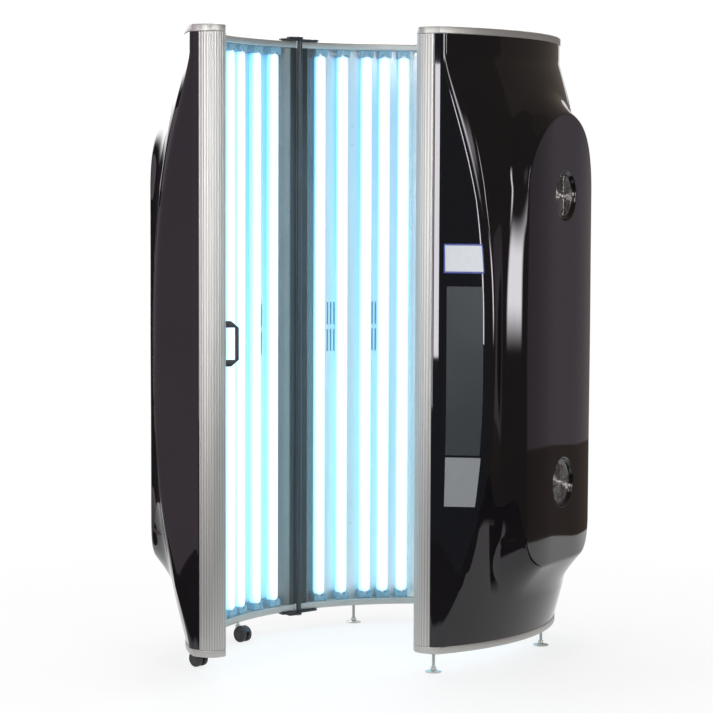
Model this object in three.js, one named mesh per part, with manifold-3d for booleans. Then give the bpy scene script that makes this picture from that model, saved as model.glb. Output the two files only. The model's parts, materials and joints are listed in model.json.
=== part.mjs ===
// Vertical tanning booth: three curved lamp sections on an equilateral plan, with one hinged as the door.
// Millimetres, +Z up. In a section's own frame x runs along its chord, y points out of the booth.
import * as THREE from "three";
import { mergeVertices } from "three/addons/utils/BufferGeometryUtils.js";
import Module from "manifold-3d";

const wasm = await Module();
wasm.setup();

// Plan of the booth
const CHORD = 781;
const DOOR_ANGLE = 109.5;
const SIDE_TURN = -120;
const CROWN = 120;
const RAIL_RADIUS = 706;
const END_INSET = 6.5;

// Heights
const FRAME_BASE = 62;
const BOOTH_HEIGHT = 1942;
const FRAME_THICKNESS = 22;

// Layers of a section, from the rail's front face outwards
const SHIELD_SETBACK = 2;
const SHIELD_THICKNESS = 2.5;
const LAMP_DIAMETER = 38;
const LAMP_WALL = 1.5;
const LAMP_GAP = 2.5;
const REFLECTOR_THICKNESS = 1.5;
const RIM_SPARE_MIDDLE = 15;
const RIM_SPARE_END = 14;
const RIM_PROUD = 2;
const GAP = 0.3;

// Lamps, by their distance from the corner, the same from both ends
const LAMP_SPOTS = [66, 141, 221, 282, 347];
const SOCKET_STRIP_HEIGHT = 24;
const SOCKET_STRIP_WIDTH = 40;

// Vertical members
const STILE_WIDTH = 18;
const STILE_CLEARANCE = 2;
const REFLECTOR_MARGIN = 28;
const POST_WIDTH = 79;
const POST_DOME = 18;
const POST_DEPTH = 30;
const POST_WALL = 3;
const POST_TILT = 28;
const POST_OVERHANG = 11.6;
const POST_INWARD = 12;
const POST_FLUTES = 10;
const FLUTE_DEPTH = 1.6;

// Outer shell: a barrel up to a crease near each edge, then a facet, and a raised pod for the fans
const SHELL_WALL = 6;
const KNEE_BACK = 8.5;
const KNEE_RISE = 23.4;
const LIP_BACK = 2.1;
const LIP_RISE = 8.1;
const BARREL_RISE = 114;
const BARREL_MIDDLE = 1000;
const BARREL_UP = 860;
const BARREL_DOWN = 918;
const BARREL_POWER = 2.4;
const CREASE_INSET = 38;
const CREASE_REST_INSET = 15.5;
const CREASE_POWER = 3;
const POD_RISE = 91;
const POD_BOW = 17;
const POD_FLAT = 90;
const POD_HALF_WIDTH = 240;
const POD_ABOVE_FANS = 253;
const POD_BELOW_FANS = 244;
const POD_CORNER = 100;
const POD_WALL = { side: 50, top: 82, bottom: 110 };

// Fans
const FAN_HEIGHTS = { lower: 554, upper: 1442 };
const FAN_SIZE = 120;
const FAN_DEPTH = 38;
const FAN_BORE = 112;
const MOTOR_RADIUS = 20;
const MOTOR_DEPTH = 13;
const SHAFT_RADIUS = 4;
const BLADE_COUNT = 5;
const BLADE_GAP = 3;
const BLADE_PITCH = 35;
const GUARD_WIRE = 3;
const STRUT_WIDTH = 6;
const GUARD_RINGS = 1;

// Ballast rack
const RACK_WIDTH = 100;
const RACK_PLATE = 3;
const BALLAST = { width: 42, depth: 42, height: 170 };
const BALLAST_ROWS = 3;
const BALLAST_PITCH = 200;

// Hinge and corner plates
const PIN_RADIUS = 5;
const PIN_HEAD = 4;
const EYE_RADIUS = 14;
const LEAF_THICKNESS = 6;
const LEAF_WIDTH = 30;
const LEAF_LENGTH = 70;
const LEAF_ANGLE = 39;

// Handle on the door post
const HANDLE_HEIGHT = 136;
const HANDLE_REACH = 40;
const HANDLE_GRIP = 11;
const HANDLE_LEG = 20;
const HANDLE_CHAMFER = 23;
const HANDLE_BASE = 2;
const HANDLE_WIDTH = 14;
const HANDLE_MIDDLE = 1000;

// Castors under the door and levelling feet under the fixed sections
const WHEEL_RADIUS = 25;
const WHEEL_WIDTH = 14;
const YOKE_WIDTH = 10;
const AXLE_RADIUS = 4;
const CASTOR_TRAIL = 20;
const YOKE_REACH = 11;
const STEM_RADIUS = 5;
const STEM_ENTRY = 12;
const FLANGE_RADIUS = 15;
const CASTOR_SPOTS = { inner: [137, 10.4], front: [-260, 37.6] };
const CASTOR_TURN = -111.5;
const PAD_RADIUS = 25;
const PAD_THICKNESS = 7;
const NUT_RADIUS = 9;
const NUT_HEIGHT = 10;
const NUT_SIDES = 6;
const FOOT_SPOTS = {
  back: { left: [-205, 26.4], right: [205, 26.4] },
  side: { front: [382, 12.3], rear: [-150, 33.1] },
};

// Sampling
const ARC_STEPS = 14;
const SEARCH_STEPS = 60;
const ROUND_SIDES = 16;
const FAN_SIDES = 12;
const SMALL_SIDES = 8;
const LAMP_SIDES = 6;
const POD_FACE_STEPS = [0.25, 0.5, 0.75];
const POD_WALL_STEPS = [0, 0.35, 0.65, 1];
const POD_ARCH_STEPS = [0, 0.4, 0.7, 0.9];
const POD_CORNER_STEPS = [0.3, 1];
const COLUMN_FLOORS = [0.2, 0.32, 0.46, 0.6];
const VALLEY_STEPS = [0.4, 0.75];
const ABOVE_POD_STEPS = [0.3, 0.6, 1];
const BELOW_POD_STEPS = [0, 0.5];
const OVERCUT = 1;

// Radii and depths that follow from the layers
const HALF = CHORD / 2;
const END = HALF - END_INSET;
const ARC_CENTRE = CROWN - RAIL_RADIUS;
const SHIELD_RADIUS = RAIL_RADIUS + SHIELD_SETBACK;
const LAMP_RADIUS = SHIELD_RADIUS + SHIELD_THICKNESS + LAMP_GAP + LAMP_DIAMETER / 2;
const REFLECTOR_RADIUS = LAMP_RADIUS + LAMP_DIAMETER / 2 + LAMP_GAP;
const LAYERS = REFLECTOR_RADIUS + REFLECTOR_THICKNESS - RAIL_RADIUS;
const INNER_LOW = FRAME_BASE + FRAME_THICKNESS + GAP;
const INNER_HIGH = BOOTH_HEIGHT - FRAME_THICKNESS - GAP;
const arcDepth = (radius, x) => ARC_CENTRE + Math.sqrt(radius ** 2 - x ** 2);
const RIM_MIDDLE = CROWN + LAYERS + RIM_SPARE_MIDDLE;
const RIM_END = arcDepth(RAIL_RADIUS, END) + LAYERS + RIM_SPARE_END;
const RIM_SAG = RIM_MIDDLE - RIM_END;
const RIM_RADIUS = (END ** 2 + RIM_SAG ** 2) / (2 * RIM_SAG);
const POD_FACE = RIM_MIDDLE + POD_RISE;
const POD_TOP = FAN_HEIGHTS.upper + POD_ABOVE_FANS;
const POD_BOTTOM = FAN_HEIGHTS.lower - POD_BELOW_FANS;
const ARCH_BASE = POD_TOP - POD_HALF_WIDTH;
const CORNER_BASE = POD_BOTTOM + POD_CORNER;

const lerp = THREE.MathUtils.lerp;
const radians = THREE.MathUtils.degToRad;
const vec = (x, y) => new THREE.Vector2(x, y);
const steps = (count) => Array.from({ length: count + 1 }, (_, i) => i / count);

const finish = (color, roughness, metalness, opacity = 1) =>
  new THREE.MeshStandardMaterial({ color, roughness, metalness, opacity, transparent: opacity < 1 });
const FINISH = {
  silver: finish("#a5a09b", 0.4, 0.9),
  shell: finish("#0d0c0e", 0.12, 0),
  dark: finish("#2d3034", 0.5, 0.1),
  black: finish("#141414", 0.45, 0),
  lamp: finish("#e9fbff", 0.3, 0),
  acrylic: finish("#eef6f8", 0.05, 0, 0.2),
  mirror: finish("#c8ced2", 0.2, 1),
  steel: finish("#8d8f92", 0.4, 1),
  zinc: finish("#c4c6c8", 0.35, 1),
};

function toSolid(geometry) {
  const bare = geometry.clone();
  bare.deleteAttribute("normal");
  bare.deleteAttribute("uv");
  const merged = mergeVertices(bare, 1e-4);
  return new wasm.Manifold(new wasm.Mesh({
    numProp: 3,
    vertProperties: new Float32Array(merged.attributes.position.array),
    triVerts: new Uint32Array(merged.index.array),
  }));
}

function toGeometry(solid) {
  const mesh = solid.getMesh();
  const geometry = new THREE.BufferGeometry();
  geometry.setAttribute("position", new THREE.BufferAttribute(new Float32Array(mesh.vertProperties), 3));
  geometry.setIndex(new THREE.BufferAttribute(new Uint32Array(mesh.triVerts), 1));
  geometry.computeVertexNormals();
  return geometry;
}

const join = (...geometries) => toGeometry(geometries.map(toSolid).reduce((sum, next) => sum.add(next)));
const cut = (geometry, ...tools) =>
  toGeometry(tools.map(toSolid).reduce((left, tool) => left.subtract(tool), toSolid(geometry)));

function extrude(outline, low, high, holes = []) {
  const shape = new THREE.Shape(outline);
  shape.holes = holes.map((hole) => new THREE.Path(hole));
  const geometry = new THREE.ExtrudeGeometry(shape, { depth: high - low, bevelEnabled: false });
  return geometry.translate(0, 0, low);
}

// Regular polygon whose flats, not its corners, lie at the radius
const ring = (radius, sides, x = 0, y = 0) => steps(sides).slice(1).map((step) => {
  const angle = 2 * Math.PI * (step - 0.5 / sides);
  const reach = radius / Math.cos(Math.PI / sides);
  return vec(x + reach * Math.cos(angle), y + reach * Math.sin(angle));
});

const drum = (radius, low, high, x = 0, y = 0, sides = ROUND_SIDES) =>
  extrude(ring(radius, sides, x, y), low, high);

// Flats of a hole in which a many-sided shaft turns freely
const runningFit = (radius, sides) => radius / Math.cos(Math.PI / sides) + GAP;

// Point of the post's section at the +x end, across its face and out of it
function postPoint(across, out) {
  const tilt = radians(POST_TILT);
  const x = HALF + POST_OVERHANG + across * Math.sin(tilt) + out * Math.cos(tilt);
  const y = -POST_INWARD + across * Math.cos(tilt) - out * Math.sin(tilt);
  return vec(x, y);
}

const POST_CORNER = postPoint(POST_WIDTH / 2, 0);
const KNEE = vec(POST_CORNER.x - KNEE_BACK, POST_CORNER.y + KNEE_RISE);
const LIP = vec(POST_CORNER.x - LIP_BACK, POST_CORNER.y + LIP_RISE);

// Depth of the shell's edge along the frames: the rim's arc, straight to the knee, then the lip at the post
function rimDepth(x) {
  const reach = Math.abs(x);
  if (reach <= END) return RIM_MIDDLE - RIM_RADIUS + Math.sqrt(RIM_RADIUS ** 2 - reach ** 2);
  if (reach <= KNEE.x) return lerp(RIM_END, KNEE.y, (reach - END) / (KNEE.x - END));
  return lerp(KNEE.y, LIP.y, (reach - KNEE.x) / (LIP.x - KNEE.x));
}

const domeHeight = (across) => POST_DOME * (1 - (2 * across / POST_WIDTH) ** 2);
const facePoints = (count, dip) => steps(count).map((step, i) => {
  const across = POST_WIDTH * (step - 0.5);
  return postPoint(across, domeHeight(across) - (i % 2 ? dip : 0));
});

// Outline of a section's end at +x, from the rail's arc to the rim's arc
function endOutline(kind) {
  const rimEnd = vec(END, RIM_END + RIM_PROUD);
  if (kind === "hinge") return [vec(END, arcDepth(RAIL_RADIUS, END)), rimEnd];
  const heel = postPoint(-POST_WIDTH / 2, -POST_DEPTH);
  const toe = postPoint(POST_WIDTH / 2, -POST_DEPTH);
  const behind = steps(SEARCH_STEPS).map((step) => heel.clone().lerp(toe, step));
  const meet = behind.find((point) => point.y > arcDepth(RAIL_RADIUS, point.x)).x;
  return [
    vec(meet, arcDepth(RAIL_RADIUS, meet)),
    heel,
    ...facePoints(POST_FLUTES, 0),
    vec(LIP.x + RIM_PROUD, LIP.y),
    vec(KNEE.x + RIM_PROUD, KNEE.y + RIM_PROUD),
    rimEnd,
  ];
}

const mirrored = (points) => points.map((point) => vec(-point.x, point.y)).reverse();

function frameOutline(ends) {
  const right = endOutline(ends.right);
  const left = mirrored(endOutline(ends.left));
  const railStart = left[left.length - 1].x;
  const rail = steps(ARC_STEPS).slice(1, -1).map((step) => {
    const x = lerp(railStart, right[0].x, step);
    return vec(x, arcDepth(RAIL_RADIUS, x));
  });
  const rim = steps(ARC_STEPS).slice(1, -1).map((step) => {
    const x = lerp(END, -END, step);
    return vec(x, rimDepth(x) + RIM_PROUD);
  });
  return [...rail, ...right, ...rim, ...left];
}

function buildFrame(ends, low, spots) {
  const holes = spots.map(({ x, y }) => ring(runningFit(STEM_RADIUS, SMALL_SIDES), SMALL_SIDES, x, y));
  return extrude(frameOutline(ends), low, low + FRAME_THICKNESS, holes);
}

// Curved sheet between the frames, concentric with the rail
function buildSheet(radius, thickness, halfWidth) {
  const arc = (r) => steps(ARC_STEPS).map((step) => {
    const angle = Math.asin(halfWidth / (radius + thickness)) * (2 * step - 1);
    return vec(r * Math.sin(angle), ARC_CENTRE + r * Math.cos(angle));
  });
  return extrude([...arc(radius), ...arc(radius + thickness).reverse()], INNER_LOW, INNER_HIGH);
}

// Lamp tubes in their upper and lower socket strips; the tubes are hollow and open at both ends
function buildLampBank() {
  const places = [...LAMP_SPOTS, ...LAMP_SPOTS.map((spot) => CHORD - spot)].map((spot) => {
    const x = spot - HALF;
    return vec(x, arcDepth(LAMP_RADIUS, x));
  }).sort((a, b) => a.x - b.x);
  const edge = (r) => places.map((place) => {
    const angle = Math.atan2(place.x, place.y - ARC_CENTRE);
    return vec(r * Math.sin(angle), ARC_CENTRE + r * Math.cos(angle));
  });
  const reach = Math.atan2(LAMP_DIAMETER / 2, LAMP_RADIUS);
  const tip = (r, side) => {
    const last = side < 0 ? places[0] : places[places.length - 1];
    const angle = Math.atan2(last.x, last.y - ARC_CENTRE) + side * reach;
    return vec(r * Math.sin(angle), ARC_CENTRE + r * Math.cos(angle));
  };
  const [near, far] = [-1, 1].map((side) => LAMP_RADIUS + side * SOCKET_STRIP_WIDTH / 2);
  const front = [tip(near, -1), ...edge(near), tip(near, 1)];
  const outline = [...front, tip(far, 1), ...edge(far).reverse(), tip(far, -1)];
  const strips = [INNER_LOW, INNER_HIGH - SOCKET_STRIP_HEIGHT].map((low) =>
    extrude(outline, low, low + SOCKET_STRIP_HEIGHT));
  const flat = LAMP_DIAMETER / 2 * Math.cos(Math.PI / LAMP_SIDES);
  const overlap = SOCKET_STRIP_HEIGHT / 2;
  const tubes = places.map((place) =>
    drum(flat, INNER_LOW + overlap, INNER_HIGH - overlap, place.x, place.y, LAMP_SIDES));
  const bores = places.map((place) =>
    drum(flat - LAMP_WALL, INNER_LOW - OVERCUT, INNER_HIGH + OVERCUT, place.x, place.y, LAMP_SIDES));
  return cut(join(...strips, ...tubes), ...bores);
}

// Plate from frame to frame behind the reflector, carrying the lamps' ballasts
function buildBallastRack() {
  const back = ARC_CENTRE + REFLECTOR_RADIUS + REFLECTOR_THICKNESS + GAP;
  const plate = new THREE.BoxGeometry(RACK_WIDTH, RACK_PLATE, INNER_HIGH - INNER_LOW);
  plate.translate(0, back + RACK_PLATE / 2, (INNER_LOW + INNER_HIGH) / 2);
  const middle = (FAN_HEIGHTS.lower + FAN_HEIGHTS.upper) / 2;
  const blocks = steps(BALLAST_ROWS - 1).flatMap((step) => [-1, 1].map((side) => {
    const block = new THREE.BoxGeometry(BALLAST.width, BALLAST.depth, BALLAST.height);
    const x = side * (RACK_WIDTH - BALLAST.width) / 2;
    const z = middle + BALLAST_PITCH * (BALLAST_ROWS - 1) * (step - 0.5);
    return block.translate(x, back + RACK_PLATE / 2 + BALLAST.depth / 2, z);
  }));
  return join(plate, ...blocks);
}

// How far the barrel has risen from the frames' edge at a given height, from 0 to 1
function barrelRise(z) {
  const span = z > BARREL_MIDDLE ? BARREL_UP : BARREL_DOWN;
  return Math.max(0, 1 - Math.abs((z - BARREL_MIDDLE) / span) ** BARREL_POWER);
}

const creaseReach = (z) => HALF - lerp(CREASE_REST_INSET, CREASE_INSET, barrelRise(z) ** CREASE_POWER);

// The pod's outline is a round arch at the top and has rounded corners at the bottom
function podEnd(z) {
  const upper = z > BARREL_MIDDLE;
  return {
    round: upper ? POD_HALF_WIDTH : POD_CORNER,
    past: Math.max(0, upper ? z - ARCH_BASE : CORNER_BASE - z),
    run: upper ? POD_WALL.top : POD_WALL.bottom,
  };
}

// How far down the pod's wall a point lies: 0 on the face, 1 from the wall's foot outwards
function podFall(x, z) {
  const { round, past, run } = podEnd(z);
  const across = Math.max(0, Math.abs(x) - POD_HALF_WIDTH + round);
  const reach = Math.hypot(across, past);
  const wall = lerp(POD_WALL.side, run, reach > 0 ? past / reach : 0);
  return THREE.MathUtils.clamp((reach - round) / wall, 0, 1);
}

// Half width of the pod at a given height, some way down its wall
function podReach(z, down) {
  const { round, past, run } = podEnd(z);
  const turn = Math.sqrt(Math.max(0, 1 - (past / (round + down * run)) ** 2));
  return POD_HALF_WIDTH - round + (round + down * POD_WALL.side) * turn;
}

const shellEdge = (kind) => (kind === "hinge" ? END : KNEE.x);

function shellDepth(x, z, edge) {
  const reach = Math.abs(x);
  if (reach > edge) return rimDepth(reach);
  const crease = creaseReach(z);
  const lift = BARREL_RISE * barrelRise(z);
  if (reach >= crease) {
    return lerp(rimDepth(crease) + lift, rimDepth(edge), (reach - crease) / (edge - crease));
  }
  const bow = Math.max(0, reach - POD_FLAT) / (POD_HALF_WIDTH - POD_FLAT);
  const face = POD_FACE - POD_BOW * bow ** 2;
  return lerp(rimDepth(reach) + lift, face, (1 - podFall(x, z)) ** 2);
}

// Columns of the shell from its middle to one edge: pod face, pod wall, barrel, crease, facet and lip
function shellColumns(z, kind) {
  const crease = creaseReach(z);
  const wall = POD_WALL_STEPS.map((step, i) => Math.max(podReach(z, step), COLUMN_FLOORS[i] * crease));
  const foot = wall[wall.length - 1];
  const barrel = VALLEY_STEPS.map((step) => lerp(foot, crease, step));
  const flat = Math.min(POD_FLAT, wall[0] / 2);
  const columns = [0, flat, ...wall, ...barrel, crease, shellEdge(kind)];
  return kind === "hinge" ? columns : [...columns, LIP.x];
}

function shellRows() {
  const lowFoot = POD_BOTTOM - POD_WALL.bottom;
  const highFoot = POD_TOP + POD_WALL.top;
  const middle = POD_FACE_STEPS.map((step) => lerp(CORNER_BASE, ARCH_BASE, step));
  return [
    ...BELOW_POD_STEPS.map((step) => lerp(INNER_LOW, lowFoot, step)),
    ...POD_WALL_STEPS.map((step) => lerp(lowFoot, POD_BOTTOM, step)),
    ...POD_CORNER_STEPS.map((step) => lerp(POD_BOTTOM, CORNER_BASE, step)),
    ...middle,
    ...POD_ARCH_STEPS.map((step) => lerp(ARCH_BASE, POD_TOP, step)),
    ...POD_WALL_STEPS.map((step) => lerp(POD_TOP, highFoot, step)),
    ...ABOVE_POD_STEPS.map((step) => lerp(highFoot, INNER_HIGH, step)),
  ];
}

// Closed skin of a grid: an outer and an inner sheet joined around their border
function buildShell(ends) {
  const rows = shellRows();
  const edges = { left: shellEdge(ends.left), right: shellEdge(ends.right) };
  const grid = rows.map((z) => [
    ...shellColumns(z, ends.left).slice(1).reverse().map((x) => [-x, edges.left]),
    ...shellColumns(z, ends.right).map((x) => [x, edges.right]),
  ].map(([x, edge]) => [x, shellDepth(x, z, edge), z]));
  const width = grid[0].length;
  const count = rows.length * width;
  const points = grid.flat();
  const positions = [...points, ...points.map(([x, y, z]) => [x, y - SHELL_WALL, z])].flat();
  const faces = [];
  const quad = (a, b, c, d) => faces.push(a, b, c, a, c, d);
  const at = (row, column) => row * width + column;
  for (let row = 0; row + 1 < rows.length; row += 1) {
    for (let column = 0; column + 1 < width; column += 1) {
      const corners = [at(row, column), at(row + 1, column), at(row + 1, column + 1), at(row, column + 1)];
      quad(...corners);
      quad(...corners.map((corner) => corner + count).reverse());
    }
  }
  const border = [
    ...steps(width - 1).slice(0, -1).map((_, i) => at(0, i)),
    ...steps(rows.length - 1).slice(0, -1).map((_, i) => at(i, width - 1)),
    ...steps(width - 1).slice(0, -1).map((_, i) => at(rows.length - 1, width - 1 - i)),
    ...steps(rows.length - 1).slice(0, -1).map((_, i) => at(rows.length - 1 - i, 0)),
  ];
  border.forEach((corner, i) => {
    const next = border[(i + 1) % border.length];
    quad(corner, next, next + count, corner + count);
  });
  const skin = new THREE.BufferGeometry();
  skin.setAttribute("position", new THREE.Float32BufferAttribute(positions, 3));
  skin.setIndex(faces);
  const holes = Object.values(FAN_HEIGHTS).map((height) => {
    const hole = drum(FAN_BORE / 2, POD_FACE - 2 * SHELL_WALL, POD_FACE + SHELL_WALL, 0, 0, FAN_SIDES);
    return hole.rotateX(-Math.PI / 2).translate(0, 0, height);
  });
  return cut(skin, ...holes);
}

// Fan parts are made about the z axis, front face up, and then laid along the section's y axis
const FAN_FRONT = POD_FACE - SHELL_WALL - GAP;
const FAN_BACK = FAN_FRONT - FAN_DEPTH;
const GUARD_BACK = FAN_FRONT - GUARD_WIRE;
const FAN_SIDE_TURN = 2 * Math.PI / FAN_SIDES;
const layFan = (geometry, height) => geometry.rotateX(-Math.PI / 2).translate(0, 0, height);

function bar(length, width, low, high, turn) {
  const box = new THREE.BoxGeometry(length, width, high - low);
  return box.translate(0, 0, (low + high) / 2).rotateZ(turn);
}

function buildFanHousing(height) {
  const half = FAN_SIZE / 2;
  const square = [vec(-half, -half), vec(half, -half), vec(half, half), vec(-half, half)];
  const body = extrude(square, FAN_BACK, FAN_FRONT, [ring(FAN_BORE / 2, FAN_SIDES)]);
  const pitch = FAN_BORE / 2 / (GUARD_RINGS + 1);
  const rings = steps(GUARD_RINGS).slice(1).map((step) => {
    const radius = pitch * GUARD_RINGS * step;
    const hole = ring(radius - GUARD_WIRE, FAN_SIDES);
    return extrude(ring(radius, FAN_SIDES), GUARD_BACK, FAN_FRONT, [hole]);
  });
  const reach = (FAN_BORE + FAN_SIZE) / 2;
  const spokes = [1, 4].map((turn) => bar(reach, GUARD_WIRE, GUARD_BACK, FAN_FRONT, turn * FAN_SIDE_TURN));
  const struts = [0, 1].map((turn) =>
    bar(reach, STRUT_WIDTH, FAN_BACK, FAN_BACK + GUARD_WIRE, turn * Math.PI / 2));
  const motor = drum(MOTOR_RADIUS, FAN_BACK, FAN_BACK + MOTOR_DEPTH, 0, 0, FAN_SIDES);
  const shaft = drum(SHAFT_RADIUS, FAN_BACK, GUARD_BACK - 2 * BLADE_GAP, 0, 0, SMALL_SIDES);
  return layFan(join(body, ...rings, ...spokes, ...struts, motor, shaft), height);
}

function buildImpeller(height) {
  const low = FAN_BACK + MOTOR_DEPTH + GAP;
  const high = GUARD_BACK - BLADE_GAP;
  const hub = drum(MOTOR_RADIUS, low, high, 0, 0, FAN_SIDES);
  const bladeReach = FAN_BORE / 2 - BLADE_GAP - MOTOR_RADIUS / 2;
  const blades = steps(BLADE_COUNT).slice(1).map((step) => {
    const blade = new THREE.BoxGeometry(bladeReach, MOTOR_RADIUS, GUARD_WIRE);
    blade.rotateX(radians(BLADE_PITCH));
    blade.translate(MOTOR_RADIUS / 2 + bladeReach / 2, 0, (low + high) / 2);
    return blade.rotateZ(2 * Math.PI * step);
  });
  const fit = runningFit(SHAFT_RADIUS, SMALL_SIDES);
  const bore = drum(fit, low - OVERCUT, high + OVERCUT, 0, 0, SMALL_SIDES);
  return layFan(cut(join(hub, ...blades), bore), height);
}

// Dark closed edge of a section where it meets another at a corner
function buildStile(side) {
  const [far, near] = [END, END - STILE_WIDTH];
  const inner = (x) => arcDepth(RAIL_RADIUS, x) + SHIELD_SETBACK;
  const outer = (x) => rimDepth(x) - SHELL_WALL - STILE_CLEARANCE;
  const outline = [
    vec(near, inner(near)),
    vec(far, inner(far)),
    vec(far, outer(far)),
    vec(near, outer(near)),
  ];
  return extrude(side > 0 ? outline : mirrored(outline), INNER_LOW, INNER_HIGH);
}

function buildPost(side) {
  const half = POST_WIDTH / 2;
  const outer = [postPoint(half, -POST_DEPTH), postPoint(-half, -POST_DEPTH),
    ...facePoints(2 * POST_FLUTES, FLUTE_DEPTH)];
  const room = half - POST_WALL;
  const hollow = [postPoint(-room, POST_WALL - POST_DEPTH), postPoint(room, POST_WALL - POST_DEPTH),
    postPoint(room, -POST_WALL), postPoint(0, POST_DOME - 2 * POST_WALL), postPoint(-room, -POST_WALL)];
  const [outline, hole] = [outer, hollow].map((points) => (side > 0 ? points : mirrored(points)));
  return extrude(outline, INNER_LOW, INNER_HIGH, [hole]);
}

// Handle on the door post's inner side wall, as a closed loop on a thin base
function buildHandle() {
  const half = HANDLE_HEIGHT / 2;
  const lower = [
    vec(0, -half),
    vec(HANDLE_REACH - HANDLE_CHAMFER, -half),
    vec(HANDLE_REACH, HANDLE_LEG - half),
  ];
  const loop = [...lower, ...lower.map((point) => vec(point.x, -point.y)).reverse()];
  const [near, far] = [HANDLE_BASE, HANDLE_REACH - HANDLE_GRIP];
  const room = half - HANDLE_LEG;
  const gap = [vec(near, -room), vec(far, -room), vec(far, room), vec(near, room)];
  const seat = postPoint(-POST_WIDTH / 2 - GAP, -POST_DEPTH / 2);
  const tilt = radians(POST_TILT);
  const inward = new THREE.Vector3(Math.sin(tilt), -Math.cos(tilt), 0);
  const up = new THREE.Vector3(0, 0, 1);
  const place = new THREE.Matrix4().makeBasis(inward, up, inward.clone().cross(up));
  place.setPosition(-seat.x, seat.y, HANDLE_MIDDLE);
  return extrude(loop, -HANDLE_WIDTH / 2, HANDLE_WIDTH / 2, [gap]).applyMatrix4(place);
}

// Strap of a hinge or corner plate, from the corner over the frame's end
function strap(start, end, low, high) {
  const box = new THREE.BoxGeometry(end - start, LEAF_WIDTH, high - low);
  return box.translate((start + end) / 2, 0, (low + high) / 2);
}

// Heights measured away from the frame's face, up from the top frame or down from the bottom one
const LEAF_LEVEL = [GAP, GAP + LEAF_THICKNESS];
const EYE_LEVEL = [LEAF_LEVEL[1] + GAP, LEAF_LEVEL[1] + GAP + LEAF_THICKNESS];
const HEAD_LEVEL = [EYE_LEVEL[1] + GAP, EYE_LEVEL[1] + GAP + PIN_HEAD];
const away = (up, low, high) => (up > 0 ? [low, high] : [-high, -low]);

function buildFixedLeaf(up) {
  const level = away(up, ...LEAF_LEVEL);
  const hole = drum(PIN_RADIUS + GAP / 2, ...away(up, 0, EYE_LEVEL[0]));
  return cut(join(strap(0, LEAF_LENGTH, ...level), drum(EYE_RADIUS, ...level)), hole);
}

// The door's leaf lies on its frame and steps over the fixed leaf's eye
function buildDoorLeaf(up) {
  const level = away(up, ...EYE_LEVEL);
  const seat = strap(EYE_RADIUS + 2 * GAP, LEAF_LENGTH, ...away(up, LEAF_LEVEL[0], EYE_LEVEL[0] + GAP));
  const step = strap(0, LEAF_LENGTH / 2, ...level);
  const hole = drum(PIN_RADIUS + GAP / 2, ...away(up, 0, HEAD_LEVEL[1]));
  return cut(join(seat, step, drum(EYE_RADIUS, ...level)), hole);
}

function buildPin(up) {
  const shank = drum(PIN_RADIUS, ...away(up, LEAF_LEVEL[0], HEAD_LEVEL[1]));
  return join(shank, drum(PIN_RADIUS + PIN_HEAD, ...away(up, ...HEAD_LEVEL)));
}

function buildCornerPlate(up) {
  const level = away(up, ...LEAF_LEVEL);
  const opening = radians(180 + SIDE_TURN + 2 * LEAF_ANGLE);
  const arms = [0, opening].map((turn) => strap(0, LEAF_LENGTH, ...level).rotateZ(turn));
  return join(...arms, drum(EYE_RADIUS, ...level));
}

const FRAME_CLEARANCE = FRAME_BASE - GAP;

function buildYoke() {
  const half = YOKE_REACH;
  const neck = [vec(-half, FRAME_BASE / 2), vec(CASTOR_TRAIL - half, WHEEL_RADIUS - half),
    vec(CASTOR_TRAIL + half, WHEEL_RADIUS - half), vec(CASTOR_TRAIL + half, WHEEL_RADIUS + half),
    vec(half, FRAME_CLEARANCE), vec(-half, FRAME_CLEARANCE)];
  const axleHole = ring(runningFit(AXLE_RADIUS, SMALL_SIDES), SMALL_SIDES, CASTOR_TRAIL, WHEEL_RADIUS);
  const web = extrude(neck, -YOKE_WIDTH / 2, YOKE_WIDTH / 2, [axleHole]).rotateX(Math.PI / 2);
  const flange = drum(FLANGE_RADIUS, FRAME_CLEARANCE - STEM_RADIUS, FRAME_CLEARANCE);
  const stem = drum(STEM_RADIUS, FRAME_CLEARANCE - STEM_RADIUS, FRAME_BASE + STEM_ENTRY, 0, 0, SMALL_SIDES);
  return join(web, flange, stem);
}

function buildWheels() {
  const inside = YOKE_WIDTH / 2 + GAP;
  const outside = inside + WHEEL_WIDTH;
  const spans = [[-outside, -inside], [inside, outside]];
  const discs = spans.map((span) => drum(WHEEL_RADIUS, ...span));
  const axle = drum(AXLE_RADIUS, OVERCUT - outside, outside - OVERCUT, 0, 0, SMALL_SIDES);
  return join(...discs, axle).rotateX(Math.PI / 2).translate(CASTOR_TRAIL, 0, WHEEL_RADIUS);
}

function buildFoot() {
  const pad = drum(PAD_RADIUS, 0, PAD_THICKNESS);
  const nut = drum(NUT_RADIUS, PAD_THICKNESS - OVERCUT, PAD_THICKNESS + NUT_HEIGHT, 0, 0, NUT_SIDES);
  const stud = drum(STEM_RADIUS, PAD_THICKNESS - OVERCUT, FRAME_BASE + STEM_ENTRY, 0, 0, SMALL_SIDES);
  return join(pad, nut, stud);
}

function node(group, name, geometry, material) {
  const mesh = new THREE.Mesh(geometry, material);
  mesh.name = name;
  group.add(mesh);
  return mesh;
}

// A stem or stud stands some way along the chord, and some way behind the rail's front face
const standPoint = ([x, behind]) => vec(x, arcDepth(RAIL_RADIUS, x) + behind);

const standSpots = (name) => Object.values(name === "door" ? CASTOR_SPOTS : FOOT_SPOTS[name]).map(standPoint);

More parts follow.
